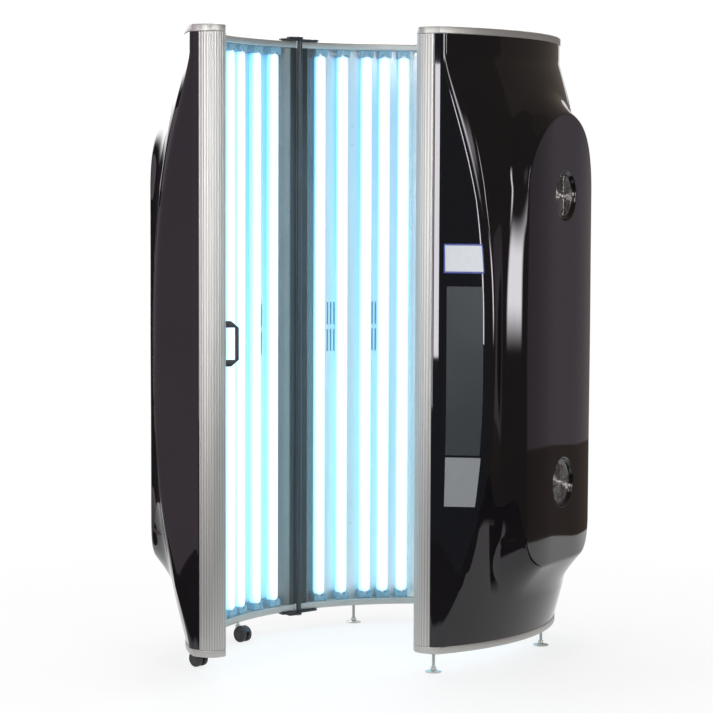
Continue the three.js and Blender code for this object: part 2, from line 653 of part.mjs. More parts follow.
function buildSection(name, ends) {
  const section = new THREE.Group();
  const add = (piece, geometry, material) => node(section, `${name}_${piece}`, geometry, material);
  add("top_frame", buildFrame(ends, BOOTH_HEIGHT - FRAME_THICKNESS, []), FINISH.silver);
  add("bottom_frame", buildFrame(ends, FRAME_BASE, standSpots(name)), FINISH.silver);
  add("shell", buildShell(ends), FINISH.shell);
  const sheetReach = END - STILE_WIDTH - GAP;
  add("shield", buildSheet(SHIELD_RADIUS, SHIELD_THICKNESS, sheetReach), FINISH.acrylic);
  const reflectorReach = sheetReach - REFLECTOR_MARGIN;
  add("reflector", buildSheet(REFLECTOR_RADIUS, REFLECTOR_THICKNESS, reflectorReach), FINISH.mirror);
  add("lamp_bank", buildLampBank(), FINISH.lamp);
  add("ballast_rack", buildBallastRack(), FINISH.steel);
  Object.entries(FAN_HEIGHTS).forEach(([level, height]) => {
    add(`${level}_fan_housing`, buildFanHousing(height), FINISH.black);
    add(`${level}_fan_impeller`, buildImpeller(height), FINISH.black);
  });
  Object.entries(ends).forEach(([end, kind]) => {
    const side = end === "right" ? 1 : -1;
    if (kind === "post") add("post", buildPost(side), FINISH.silver);
    else add(`${end}_stile`, buildStile(side), FINISH.dark);
  });
  return section;
}

// One plate above the top frame at a corner and one below the bottom frame
function addPlates(name, build, material, corner, turn) {
  Object.entries({ top: BOOTH_HEIGHT, bottom: FRAME_BASE }).forEach(([level, height]) => {
    const plate = node(booth, `${level}_${name}`, build(level === "top" ? 1 : -1), material);
    plate.position.set(corner.x, corner.y, height);
    plate.rotation.z = turn;
  });
}

// The plan: the back section lies along x, the side section turns off its right end, the door off its left
const hinge = vec(0, 0);
const corner = vec(CHORD, 0);
const along = (degrees) => vec(Math.cos(radians(degrees)), Math.sin(radians(degrees)));
const doorChord = along(-DOOR_ANGLE);
const sideChord = along(SIDE_TURN);

const booth = new THREE.Group();
const fixed = new THREE.Group();
const door = buildSection("door", { left: "post", right: "hinge" });
const back = buildSection("back", { left: "hinge", right: "hinge" });
const side = buildSection("side", { left: "hinge", right: "post" });
back.position.set(HALF, 0, 0);
side.position.set(corner.x + sideChord.x * HALF, corner.y + sideChord.y * HALF, 0);
side.rotation.z = radians(SIDE_TURN);
door.position.set(doorChord.x * HALF, doorChord.y * HALF, 0);
door.rotation.z = radians(180 - DOOR_ANGLE);
fixed.add(back, side);
booth.add(fixed, door);

addPlates("hinge_fixed_leaf", buildFixedLeaf, FINISH.black, hinge, radians(LEAF_ANGLE));
addPlates("hinge_door_leaf", buildDoorLeaf, FINISH.black, hinge, radians(-DOOR_ANGLE - LEAF_ANGLE));
addPlates("hinge_pin", buildPin, FINISH.zinc, hinge, 0);
addPlates("corner_plate", buildCornerPlate, FINISH.black, corner, radians(180 - LEAF_ANGLE));

node(door, "door_handle", buildHandle(), FINISH.black);
Object.entries(CASTOR_SPOTS).forEach(([spot, place]) => {
  const { x, y } = standPoint(place);
  const castor = new THREE.Group();
  node(castor, `${spot}_castor_yoke`, buildYoke(), FINISH.black);
  node(castor, `${spot}_castor_wheels`, buildWheels(), FINISH.black);
  castor.position.set(x, y, 0);
  castor.rotation.z = radians(CASTOR_TURN);
  door.add(castor);
});
Object.entries({ back, side }).forEach(([name, section]) => {
  Object.entries(FOOT_SPOTS[name]).forEach(([spot, place]) => {
    const { x, y } = standPoint(place);
    node(section, `${name}_${spot}_foot`, buildFoot(), FINISH.zinc).position.set(x, y, 0);
  });
});

// The origin is the middle of the booth's footprint, on the floor
const box = new THREE.Box3().setFromObject(booth, true);
const centre = box.getCenter(new THREE.Vector3());
booth.position.set(-centre.x, -centre.y, -box.min.z);

export default booth;
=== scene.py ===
"""Looks of the vertical tanning booth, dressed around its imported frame. Metres, +Z up."""
import json
import math

import bmesh
import bpy
from mathutils import Matrix, Vector


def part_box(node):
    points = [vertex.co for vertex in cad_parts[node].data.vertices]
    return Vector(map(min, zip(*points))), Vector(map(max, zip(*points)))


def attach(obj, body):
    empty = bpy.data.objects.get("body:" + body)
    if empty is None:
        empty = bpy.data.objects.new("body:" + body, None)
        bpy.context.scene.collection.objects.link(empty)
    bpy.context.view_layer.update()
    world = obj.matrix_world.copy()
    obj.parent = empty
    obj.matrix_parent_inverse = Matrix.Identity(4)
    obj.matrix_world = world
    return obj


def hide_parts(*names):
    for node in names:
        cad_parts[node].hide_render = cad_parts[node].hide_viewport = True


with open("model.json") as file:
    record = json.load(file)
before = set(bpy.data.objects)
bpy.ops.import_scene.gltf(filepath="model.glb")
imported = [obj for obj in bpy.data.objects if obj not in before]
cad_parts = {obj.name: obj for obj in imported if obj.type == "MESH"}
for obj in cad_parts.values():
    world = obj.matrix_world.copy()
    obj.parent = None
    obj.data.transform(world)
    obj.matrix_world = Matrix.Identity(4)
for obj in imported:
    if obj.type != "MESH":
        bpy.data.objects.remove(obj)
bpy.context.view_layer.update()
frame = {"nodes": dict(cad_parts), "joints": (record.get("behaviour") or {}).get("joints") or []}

# Plan and heights, as in the frame
CHORD = 0.781
DOOR_ANGLE = 109.5
SIDE_TURN = -120
CROWN = 0.120
RAIL_RADIUS = 0.706
END_INSET = 0.0065
FRAME_BASE = 0.062
BOOTH_HEIGHT = 1.942
FRAME_THICKNESS = 0.022
GAP = 0.0003

# Layers of a section, from the rail outwards
SHIELD_SETBACK = 0.002
SHIELD_THICKNESS = 0.0025
LAMP_DIAMETER = 0.038
LAMP_GAP = 0.0025
REFLECTOR_THICKNESS = 0.0015
REFLECTOR_MARGIN = 0.028
RIM_SPARE_MIDDLE = 0.015
RIM_SPARE_END = 0.014
RIM_PROUD = 0.002
LAMP_SPOTS = (0.066, 0.141, 0.221, 0.282, 0.347)
SOCKET_HEIGHT = 0.024

# Stiles and posts
STILE_WIDTH = 0.018
STILE_CLEARANCE = 0.002
POST_WIDTH = 0.079
POST_DOME = 0.018
POST_DEPTH = 0.030
POST_TILT = math.radians(28)
POST_OVERHANG = 0.0116
POST_INWARD = 0.012
POST_FLUTES = 10
FLUTE_DEPTH = 0.0010

# Outer shell: a barrel that falls to the frames by a facet at each end, with a fan pod on it
SHELL_WALL = 0.006
KNEE_BACK = 0.0085
KNEE_RISE = 0.0234
LIP_BACK = 0.0021
LIP_RISE = 0.0081
BARREL_RISE = 0.114
BARREL_MIDDLE = 1.000
BARREL_UP = 0.860
BARREL_DOWN = 0.918
BARREL_POWER = 2.4
CREASE_INSET = 0.038
CREASE_REST_INSET = 0.0155
CREASE_POWER = 3
CREASE_ROUND = 0.004
FACET_RUN = 0.045
FACET_REST = 0.08
FACET_POWER = 1.42
FACET_SLOPE = 3.3
FACET_LOW_SHARE = 1.33
FACET_MOST = 0.88
POD_RISE = 0.091
POD_BOW = 0.017
POD_FLAT = 0.090
POD_HALF_WIDTH = 0.240
POD_ABOVE_FANS = 0.253
POD_BELOW_FANS = 0.244
POD_CORNER = 0.100
POD_WALL = {"side": 0.050, "top": 0.082, "bottom": 0.110}
POD_EDGE_ROUND = 0.06
POD_STAND = 0.026
VALLEY_PLACE = 0.302
VALLEY_START = 0.246
VALLEY_ROUND = 0.3

# Fans
FAN_HEIGHTS = {"lower": 0.554, "upper": 1.442}
FAN_SIZE = 0.120
FAN_DEPTH = 0.038
FAN_BORE = 0.112
MOTOR_RADIUS = 0.020
MOTOR_DEPTH = 0.013
RECESS_RADIUS = 0.081
RECESS_RIM = RECESS_RADIUS - 0.001
BLADE_COUNT = 7

# Castors and levelling feet, by the section that they carry
CASTORS = ("inner", "front")
FEET = {"back": ("back_left_foot", "back_right_foot"), "side": ("side_front_foot", "side_rear_foot")}
STEM_RADIUS = 0.005
STEM_ENTRY = 0.012
STEM_FIT = 0.0004

HALF = CHORD / 2
END = HALF - END_INSET
ARC_CENTRE = CROWN - RAIL_RADIUS
SHIELD_RADIUS = RAIL_RADIUS + SHIELD_SETBACK
LAMP_RADIUS = SHIELD_RADIUS + SHIELD_THICKNESS + LAMP_GAP + LAMP_DIAMETER / 2
REFLECTOR_RADIUS = LAMP_RADIUS + LAMP_DIAMETER / 2 + LAMP_GAP
LAYERS = REFLECTOR_RADIUS + REFLECTOR_THICKNESS - RAIL_RADIUS
INNER_LOW = FRAME_BASE + FRAME_THICKNESS + GAP
INNER_HIGH = BOOTH_HEIGHT - FRAME_THICKNESS - GAP


def arc_depth(radius, x):
    """Depth of an arc about the rail's centre."""
    return ARC_CENTRE + math.sqrt(radius**2 - x**2)


RIM_MIDDLE = CROWN + LAYERS + RIM_SPARE_MIDDLE
RIM_END = arc_depth(RAIL_RADIUS, END) + LAYERS + RIM_SPARE_END
RIM_SAG = RIM_MIDDLE - RIM_END
RIM_RADIUS = (END**2 + RIM_SAG**2) / (2 * RIM_SAG)
POD_FACE = RIM_MIDDLE + POD_RISE
POD_TOP = FAN_HEIGHTS["upper"] + POD_ABOVE_FANS
POD_BOTTOM = FAN_HEIGHTS["lower"] - POD_BELOW_FANS
ARCH_BASE = POD_TOP - POD_HALF_WIDTH
CORNER_BASE = POD_BOTTOM + POD_CORNER
SHEET_REACH = END - STILE_WIDTH - GAP


def lerp(a, b, t):
    return a + (b - a) * t


def steps(count):
    """Even shares from 0 to 1."""
    return [i / count for i in range(count + 1)]


def middle_of(node):
    """Middle of a node's box."""
    low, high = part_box(node)
    return (low + high) / 2


class Section:
    """One section of the booth: x along its chord, y out of the booth, a stile or a post at each end."""

    def __init__(self, name, body, origin, turn, left, right):
        self.name = name
        self.body = body
        self.ends = {-1: left, 1: right}
        self.place = Matrix.Translation((*origin, 0)) @ Matrix.Rotation(math.radians(turn), 4, "Z")


def heading(degrees):
    return Vector((math.cos(math.radians(degrees)), math.sin(math.radians(degrees))))


def arc_points(radius, first, last, count):
    """Points of an arc about the origin, between two angles in degrees."""
    turns = [math.radians(lerp(first, last, s)) for s in steps(count)]
    return [(radius * math.cos(t), radius * math.sin(t)) for t in turns]


def oblong(left, right, low, high):
    """Corners of a rectangle."""
    return [(left, low), (right, low), (right, high), (left, high)]


HINGE = middle_of("top_hinge_pin").xy
CORNER = HINGE + Vector((CHORD, 0))
BACK = Section("back", "fixed", HINGE + Vector((HALF, 0)), 0, "stile", "stile")
SIDE = Section("side", "fixed", CORNER + heading(SIDE_TURN) * HALF, SIDE_TURN, "stile", "post")
DOOR = Section("door", "door", HINGE + heading(-DOOR_ANGLE) * HALF, 180 - DOOR_ANGLE, "post", "stile")
SECTIONS = (BACK, SIDE, DOOR)


class Field:
    """A number that varies from place to place: a socket, with Python's operators as Math nodes."""

    def __init__(self, tree, socket):
        self.tree = tree
        self.socket = socket

    def math(self, operation, *values):
        node = add_node(self.tree, "ShaderNodeMath", dict(enumerate(values)), operation=operation)
        return Field(self.tree, node.outputs[0])

    def __add__(self, other):
        return self.math("ADD", self, other)

    def __radd__(self, other):
        return self.math("ADD", other, self)

    def __sub__(self, other):
        return self.math("SUBTRACT", self, other)

    def __rsub__(self, other):
        return self.math("SUBTRACT", other, self)

    def __mul__(self, other):
        return self.math("MULTIPLY", self, other)

    def __rmul__(self, other):
        return self.math("MULTIPLY", other, self)

    def __truediv__(self, other):
        return self.math("DIVIDE", self, other)

    def __rtruediv__(self, other):
        return self.math("DIVIDE", other, self)

    def __pow__(self, other):
        return self.math("POWER", self, other)

    def __rpow__(self, other):
        return self.math("POWER", other, self)

    def __abs__(self):
        return self.math("ABSOLUTE", self)

    def larger(self, other):
        return self.math("MAXIMUM", self, other)

    def smaller(self, other):
        return self.math("MINIMUM", self, other)

    def clamped(self):
        """Held between 0 and 1."""
        return self.larger(0.0).smaller(1.0)


def feed(tree, socket, value):
    """Links a field or another socket to a socket, or sets the socket's value. Colours are RGB."""
    link = value.socket if isinstance(value, Field) else value
    if isinstance(link, bpy.types.NodeSocket):
        tree.links.new(link, socket)
    elif socket.type == "RGBA":
        socket.default_value = (*link, 1)
    else:
        socket.default_value = link


def add_node(tree, kind, inputs=None, **settings):
    """Adds a node with its settings, then the values or links of its sockets."""
    node = tree.nodes.new(kind)
    for name, value in settings.items():
        setattr(node, name, value)
    for name, value in (inputs or {}).items():
        feed(tree, node.inputs[name], value)
    return node


class Paint:
    """A material under construction: one Principled shader and the nodes that feed it."""

    def __init__(self, name, colour, roughness, **constants):
        self.material = bpy.data.materials.new(name)
        self.material.use_nodes = True
        self.tree = self.material.node_tree
        self.tree.nodes.clear()
        self.shader = self.node("ShaderNodeBsdfPrincipled")
        self.set(base_color=colour, roughness=roughness, **constants)
        self.output = self.node("ShaderNodeOutputMaterial", {"Surface": self.shader.outputs[0]})

    def node(self, kind, inputs=None, **settings):
        return add_node(self.tree, kind, inputs, **settings)

    def set(self, **values):
        """Feeds the shader's sockets, by their names."""
        for name, value in values.items():
            feed(self.tree, self.shader.inputs[name.replace("_", " ").title()], value)
        return self

    def spot(self, stretch=(1, 1, 1)):
        """Object coordinates, stretched per axis."""
        coordinates = self.node("ShaderNodeTexCoord").outputs["Object"]
        return self.node("ShaderNodeMapping", {"Vector": coordinates, "Scale": stretch}).outputs[0]

    def height(self):
        split = self.node("ShaderNodeSeparateXYZ", {0: self.spot()})
        return Field(self.tree, split.outputs["Z"])

    def attribute(self, name):
        node = self.node("ShaderNodeAttribute", attribute_name=name)
        return Field(self.tree, node.outputs["Fac"])

    def noise(self, scale, detail=3.0, stretch=(1, 1, 1)):
        inputs = {"Vector": self.spot(stretch), "Scale": scale, "Detail": detail}
        return Field(self.tree, self.node("ShaderNodeTexNoise", inputs).outputs["Fac"])

    def mix(self, factor, first, second):
        inputs = {0: factor, 6: first, 7: second}
        return self.node("ShaderNodeMix", inputs, data_type="RGBA").outputs[2]

    def bump(self, height, strength, distance):
        inputs = {"Height": height, "Strength": strength, "Distance": distance}
        return self.set(normal=self.node("ShaderNodeBump", inputs).outputs[0])


def gloss_shell():
    """Polished black moulding: deep colour, faint orange peel and a little handling haze."""
    paint = Paint("gloss_shell", (0.004, 0.0038, 0.0045), 0.05, specular_tint=(1.0, 0.96, 1.0))
    cloud = paint.noise(3.0)
    paint.set(base_color=paint.mix(cloud, (0.003, 0.003, 0.0038), (0.008, 0.0065, 0.0070)))
    paint.set(roughness=0.02 + 0.05 * paint.noise(14.0, detail=5.0) ** 2)
    return paint.bump(paint.noise(240.0, detail=1.0), strength=0.02, distance=0.0003).material


def brushed(name, colour, roughness, stretch):
    """Satin metal with fine drawn lines along one direction."""
    paint = Paint(name, colour, roughness, metallic=0.8)
    grain = paint.noise(60.0, detail=4.0, stretch=stretch)
    cloud = paint.noise(5.0)
    light = tuple(min(1.0, c * 1.08) for c in colour)
    dark = tuple(c * 0.92 for c in colour)
    paint.set(base_color=paint.mix(0.6 * grain + 0.4 * cloud, dark, light))
    paint.set(roughness=roughness - 0.06 + 0.08 * grain + 0.06 * cloud)
    return paint.bump(grain, strength=0.02, distance=0.0002).material


def fluted():
    """Drawn post: satin metal, with painted shade down in its flutes."""
    paint = Paint("drawn_post", (0.44, 0.43, 0.41), 0.38, metallic=0.7)
    grain = paint.noise(50.0, detail=4.0, stretch=(12, 12, 0.02))
    body = paint.mix(grain, (0.46, 0.45, 0.43), (0.56, 0.55, 0.52))
    # Painted shade: the groove mark darkens the colour down in the flutes
    paint.set(base_color=paint.mix(paint.attribute("groove"), body, (0.32, 0.31, 0.30)))
    paint.set(roughness=0.34 + 0.10 * grain)
    return paint.bump(grain, strength=0.02, distance=0.0002).material


def moulded(name, colour, roughness, grain=900.0, strength=0.15):
    """Plastic with a fine spark-eroded grain and slight wear in its tone."""
    paint = Paint(name, colour, roughness)
    cloud = paint.noise(9.0, detail=4.0)
    worn = tuple(min(1.0, c * 1.5 + 0.004) for c in colour)
    paint.set(base_color=paint.mix(cloud * cloud, colour, worn))
    paint.set(roughness=roughness - 0.08 + 0.16 * cloud)
    return paint.bump(paint.noise(grain, detail=2.0), strength, distance=0.0003).material


def plated(name, colour, roughness):
    """Bright plated steel with faint passivation patches."""
    paint = Paint(name, colour, roughness, metallic=1.0)
    patch = paint.noise(60.0, detail=4.0)
    warm = (colour[0], colour[1] * 0.97, colour[2] * 0.90)
    paint.set(base_color=paint.mix(patch, colour, warm), roughness=roughness - 0.08 + 0.18 * patch)
    return paint.bump(paint.noise(500.0, detail=2.0), strength=0.05, distance=0.0002).material


# Glow of a lamp tube: how late it falls off towards its ends, and where its flanks deepen upwards
GLOW_END_POWER = 46.0
FLANK_BASE = 0.75
FLANK_RUN = 0.85


def lamp_glow():
    """Coated lamp tube, lit: white-hot towards the room, blue on its flanks and at its ends."""
    paint = Paint("lamp_glow", (0.55, 0.72, 0.80), 0.3, emission_strength=1.0)
    ends = (paint.height() - (INNER_LOW + INNER_HIGH) / 2) / ((INNER_HIGH - INNER_LOW) / 2)
    fade = (abs(ends) ** GLOW_END_POWER).smaller(1.0)
    hot = ((paint.attribute("front") - 0.50) * 2.5).clamped()
    streak = 0.12 * paint.noise(6.0, stretch=(1, 1, 0.05))
    upper = ((paint.height() - FLANK_BASE) / FLANK_RUN).clamped()
    flank = paint.mix(upper, (0.28, 0.74, 0.95), (0.11, 0.52, 0.84))
    body = paint.mix((hot - streak).larger(0.0), flank, (0.86, 0.98, 1.0))
    return paint.set(emission_color=paint.mix(fade, body, (0.03, 0.25, 0.50))).material


def clear_sheet():
    """Clear acrylic: mostly seen through, with a polished face and faint haze."""
    paint = Paint("clear_sheet", (0.90, 0.96, 0.98), 0.05)
    haze = paint.noise(4.0)
    return paint.set(alpha=0.03 + 0.05 * haze, roughness=0.03 + 0.06 * haze).material


def reflector_sheet():
    """Bright rolled aluminium with long soft streaks."""
    paint = Paint("reflector_sheet", (0.80, 0.82, 0.84), 0.35, metallic=0.9)
    streak = paint.noise(40.0, stretch=(1, 1, 0.02))
    paint.set(base_color=paint.mix(streak, (0.74, 0.77, 0.79), (0.86, 0.88, 0.89)))
    paint.set(roughness=0.32 + 0.16 * streak)
    return paint.bump(streak, strength=0.05, distance=0.0003).material


def tinted_holder():
    """Blue lamp holder with a frosted tone."""
    paint = Paint("clear_socket", (0.20, 0.45, 0.60), 0.2)
    frost = paint.noise(120.0)
    paint.set(base_color=paint.mix(frost, (0.08, 0.28, 0.44), (0.30, 0.58, 0.72)))
    return paint.set(roughness=0.12 + 0.25 * frost).material


def clear_strip():
    """Clear joint strip, whitened where it is scored."""
    paint = Paint("clear_strip", (0.80, 0.92, 0.96), 0.15)
    frost = paint.noise(90.0, stretch=(1, 1, 0.1))
    return paint.set(alpha=0.25 + 0.35 * frost, roughness=0.08 + 0.2 * frost).material


def enamel(name, colour, roughness):
    """Blank plate: even colour with a faint mottle."""
    paint = Paint(name, colour, roughness)
    mottle = paint.noise(70.0, detail=4.0)
    shade = tuple(c * 0.88 for c in colour)
    paint.set(base_color=paint.mix(mottle, shade, colour), roughness=roughness - 0.05 + 0.1 * mottle)
    return paint.bump(paint.noise(600.0, detail=2.0), strength=0.03, distance=0.0002).material


def vent_blue():
    """Blue baffle seen through the vent slots."""
    paint = Paint("vent_blue", (0.01, 0.32, 0.55), 0.4)
    tone = paint.noise(50.0)
    return paint.set(base_color=paint.mix(tone, (0.005, 0.24, 0.45), (0.015, 0.42, 0.66))).material


MATERIALS = {
    "shell": gloss_shell(),
    "silver": brushed("satin_trim", (0.48, 0.47, 0.445), 0.44, (1, 1, 20)),
    "post": fluted(),
    "dark": moulded("dark_stile", (0.030, 0.040, 0.045), 0.35, 700.0, 0.08),
    "black": moulded("black_plastic", (0.016, 0.016, 0.018), 0.42),
    "tyre": moulded("castor_tread", (0.022, 0.022, 0.023), 0.55, 500.0, 0.25),
    "lamp": lamp_glow(),
    "cap": plated("lamp_cap", (0.72, 0.73, 0.74), 0.35),
    "socket": tinted_holder(),
    "acrylic": clear_sheet(),
    "mirror": reflector_sheet(),
    "return": brushed("reflector_return", (0.18, 0.20, 0.20), 0.30, (8, 8, 0.02)),
    "strip": clear_strip(),
    "badge": enamel("badge_face", (0.58, 0.60, 0.62), 0.30),
    "badge_rim": enamel("badge_rim", (0.05, 0.07, 0.30), 0.30),
    "band": enamel("dark_band", (0.022, 0.026, 0.029), 0.35),
    "plate": enamel("pale_plate", (0.22, 0.23, 0.235), 0.35),
    "vent": vent_blue(),
    "steel": moulded("grey_enamel", (0.30, 0.31, 0.32), 0.45, 300.0, 0.05),
    "zinc": plated("zinc_plate", (0.66, 0.68, 0.68), 0.32),
    "wire": plated("guard_wire", (0.62, 0.61, 0.60), 0.26),
}


ON_AXIS = 1e-7
MERGE_DISTANCE = 1e-6


class Shape:
    """Vertices and faces of a piece while it is being built."""

    def __init__(self):
        self.verts = []
        self.faces = []

    def add(self, verts, faces, place=None):
        start = len(self.verts)
        self.verts += [(place @ Vector(v) if place else Vector(v)) for v in verts]
        self.faces += [[start + i for i in face] for face in faces]
        return self

    def prism(self, outline, low, high, place=None):
        """A flat outline pushed up from low to high."""
        count = len(outline)
        verts = [(x, y, z) for z in (low, high) for x, y in outline]
        sides = [[i, (i + 1) % count, count + (i + 1) % count, count + i] for i in range(count)]
        caps = [list(range(count))[::-1], list(range(count, 2 * count))]
        return self.add(verts, sides + caps, place)

    def lathe(self, profile, sides, place=None):
        """A profile of (radius, height) turned about z; ends on the axis are closed by a fan."""
        turns = [2 * math.pi * i / sides for i in range(sides)]
        rings = []
        verts = []
        for radius, height in profile:
            rings.append(len(verts))
            ring = turns if radius > ON_AXIS else turns[:1]
            verts += [(radius * math.cos(t), radius * math.sin(t), height) for t in ring]
        faces = []
        for (r0, _), (r1, _), a, b in zip(profile, profile[1:], rings, rings[1:]):
            for i in range(sides):
                j = (i + 1) % sides
                low = [a + i, a + j] if r0 > ON_AXIS else [a]
                high = [b + j, b + i] if r1 > ON_AXIS else [b]
                if len(low) + len(high) > 2:
                    faces.append(low + high)
        return self.add(verts, faces, place)

    def rod(self, radius, low, high, sides, place=None):
        """A plain cylinder about z."""
        return self.lathe([(0, low), (radius, low), (radius, high), (0, high)], sides, place)

    def box(self, size, place=None):
        x, y, z = (s / 2 for s in size)
        return self.prism(oblong(-x, x, -y, y), -z, z, place)

    def skin(self, grid, offset):
        """A sheet through a grid of points and a second sheet offset from it, joined round the border."""
        rows, width = len(grid), len(grid[0])
        outer = [p for row in grid for p in row]
        inner = [Vector(p) + Vector(offset) for p in outer]
        count = len(outer)
        faces = []
        for row in range(rows - 1):
            for column in range(width - 1):
                a = row * width + column
                quad = [a, a + width, a + width + 1, a + 1]
                faces += [quad, [i + count for i in quad[::-1]]]
        border = list(range(width))
        border += [row * width + width - 1 for row in range(1, rows)]
        border += [(rows - 1) * width + i for i in range(width - 2, -1, -1)]
        border += [row * width for row in range(rows - 2, 0, -1)]
        for a, b in zip(border, border[1:] + border[:1]):
            faces.append([a, b, b + count, a + count])
        return self.add(outer + inner, faces)


def to_mesh(name, shape):
    mesh = bpy.data.meshes.new(name)
    mesh.from_pydata([tuple(v) for v in shape.verts], [], shape.faces)
    work = bmesh.new()
    work.from_mesh(mesh)
    bmesh.ops.remove_doubles(work, verts=work.verts, dist=MERGE_DISTANCE)
    bmesh.ops.recalc_face_normals(work, faces=work.faces)
    work.to_mesh(mesh)
    work.free()
    return mesh


def evaluated_mesh(obj):
    """The object's mesh with its modifiers applied."""
    graph = bpy.context.evaluated_depsgraph_get()
    return bpy.data.meshes.new_from_object(obj.evaluated_get(graph), depsgraph=graph)


def new_object(name, data):
    obj = bpy.data.objects.new(name, data)
    bpy.context.scene.collection.objects.link(obj)
    return obj


def settle(obj, material, angle):
    """Bakes the modifiers into the mesh, sets the material and the shading's sharp angle."""
    if obj.modifiers:
        mesh = evaluated_mesh(obj)
        obj.modifiers.clear()
        obj.data = mesh
    obj.data.materials.clear()
    obj.data.materials.append(material)
    obj.data.shade_smooth()
    obj.data.set_sharp_from_angle(angle=math.radians(angle))


def belongs(obj, body, replaces=()):
    """Sets a piece's body, and hides the nodes that it stands for."""
    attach(obj, body)
    if replaces:
        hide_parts(*replaces)


def give_mark(mesh, mark):
    """A number on every vertex, worked out from the vertex's place."""
    label, value = mark
    spots = mesh.attributes.new(label, "FLOAT", "POINT")
    for entry, vertex in zip(spots.data, mesh.vertices):
        entry.value = value(vertex.co)


BEVEL_LIMIT = math.radians(30)


def soften(obj, width, rounds=2):
    """Rounds the edges where the faces turn sharply."""
    edge = obj.modifiers.new("edge", "BEVEL")
    edge.width = width
    edge.segments = rounds
    edge.limit_method = "ANGLE"
    edge.angle_limit = BEVEL_LIMIT


def piece(name, shape, material, body, replaces=(), bevel=0.0, rounds=2, angle=35, cutter=None,
          mark=None):
    """A finished piece: its mesh bevelled, cut and shaded, riding on its body."""
    obj = new_object(name, to_mesh(name, shape))
    if mark:
        give_mark(obj.data, mark)
    if bevel:
        soften(obj, bevel, rounds)
    if cutter:
        tool = new_object(name + "_cutter", to_mesh(name + "_cutter", cutter))
        cut = obj.modifiers.new("cut", "BOOLEAN")
        cut.object = tool
        cut.operation = "DIFFERENCE"
        cut.solver = "EXACT"
    settle(obj, MATERIALS[material], angle)
    if cutter:
        bpy.data.objects.remove(tool)
    belongs(obj, body, replaces)


def new_tree(name, inputs):
    """A geometry tree with named inputs, and the sockets that give them."""
    tree = bpy.data.node_groups.new(name, "GeometryNodeTree")
    tree.interface.new_socket("Geometry", in_out="OUTPUT", socket_type="NodeSocketGeometry")
    for label, kind in inputs.items():
        tree.interface.new_socket(label, in_out="INPUT", socket_type="NodeSocket" + kind)
    return tree, add_node(tree, "NodeGroupInput").outputs


def end_tree(tree, geometry, finish):
    """Ends a tree: its copies made real, and its material set."""
    real = add_node(tree, "GeometryNodeRealizeInstances", {"Geometry": geometry})
    values = {"Geometry": real.outputs[0], "Material": finish}
    painted = add_node(tree, "GeometryNodeSetMaterial", values)
    add_node(tree, "NodeGroupOutput", {"Geometry": painted.outputs[0]})
    return tree


def scatter_tree():
    """Copies of one piece on the points of a mesh, turned by each point's own angles."""
    inputs = {"Points": "Geometry", "Piece": "Object", "Size": "Float", "Finish": "Material"}
    tree, given = new_tree("copies_on_points", inputs)
    info = add_node(tree, "GeometryNodeObjectInfo", {"Object": given["Piece"]})
    turn = add_node(tree, "GeometryNodeInputNamedAttribute", {"Name": "turn"}, data_type="FLOAT_VECTOR")
    placed = add_node(tree, "GeometryNodeInstanceOnPoints", {
        "Points": given["Points"],
        "Instance": info.outputs["Geometry"],
        "Rotation": turn.outputs["Attribute"],
        "Scale": given["Size"],
    })
    return end_tree(tree, placed.outputs[0], given["Finish"])


SCATTER = scatter_tree()


def give(modifier, values):
    """Sets a node modifier's inputs by their sockets' identifiers."""
    for item in modifier.node_group.interface.items_tree:
        if item.in_out == "INPUT" and item.name in values:
            modifier[item.identifier] = values[item.name]


def copies(name, shape, places, material, body, replaces=(), bevel=0.0, angle=35, mark=None):
    """One mesh that holds a copy of the shape at every place; mark gives its points an attribute."""
    pattern = new_object(name + "_pattern", to_mesh(name + "_pattern", shape))
    if mark:
        give_mark(pattern.data, mark)
    if bevel:
        soften(pattern, bevel)
    points = bpy.data.meshes.new(name)
    points.from_pydata([tuple(p.to_translation()) for p in places], [], [])
    turns = points.attributes.new("turn", "FLOAT_VECTOR", "POINT")
    for entry, place in zip(turns.data, places):
        entry.vector = tuple(place.to_euler())
    obj = new_object(name, points)
    modifier = obj.modifiers.new("copies", "NODES")
    modifier.node_group = SCATTER
    give(modifier, {"Piece": pattern, "Size": 1.0, "Finish": MATERIALS[material]})
    settle(obj, MATERIALS[material], angle)
    bpy.data.objects.remove(pattern)
    belongs(obj, body, replaces)


def post_point(across, out):
    """Point of the post's section at the +x end, across its face and out of it."""
    x = HALF + POST_OVERHANG + across * math.sin(POST_TILT) + out * math.cos(POST_TILT)
    y = -POST_INWARD + across * math.cos(POST_TILT) - out * math.sin(POST_TILT)
    return (x, y)


POST_CORNER = post_point(POST_WIDTH / 2, 0)
KNEE = (POST_CORNER[0] - KNEE_BACK, POST_CORNER[1] + KNEE_RISE)
LIP = (POST_CORNER[0] - LIP_BACK, POST_CORNER[1] + LIP_RISE)


def rim_depth(x):
    """Depth of the frames' outer edge: an arc, then straight to a knee and a lip at the post."""
    reach = abs(x)
    if reach <= END:
        return RIM_MIDDLE - RIM_RADIUS + math.sqrt(RIM_RADIUS**2 - reach**2)
    if reach <= KNEE[0]:
        return lerp(RIM_END, KNEE[1], (reach - END) / (KNEE[0] - END))
    return lerp(KNEE[1], LIP[1], (reach - KNEE[0]) / (LIP[0] - KNEE[0]))


def dome(across):
    """How far the post's face bulges out, some way across it."""
    return POST_DOME * (1 - (2 * across / POST_WIDTH) ** 2)


def mirrored(points):
    return [(-x, y) for x, y in points][::-1]


def sided(points, side):
    """An outline drawn for the +x end, or mirrored for the -x end."""
    return points if side > 0 else mirrored(points)


CORNER_ROUND = 0.012


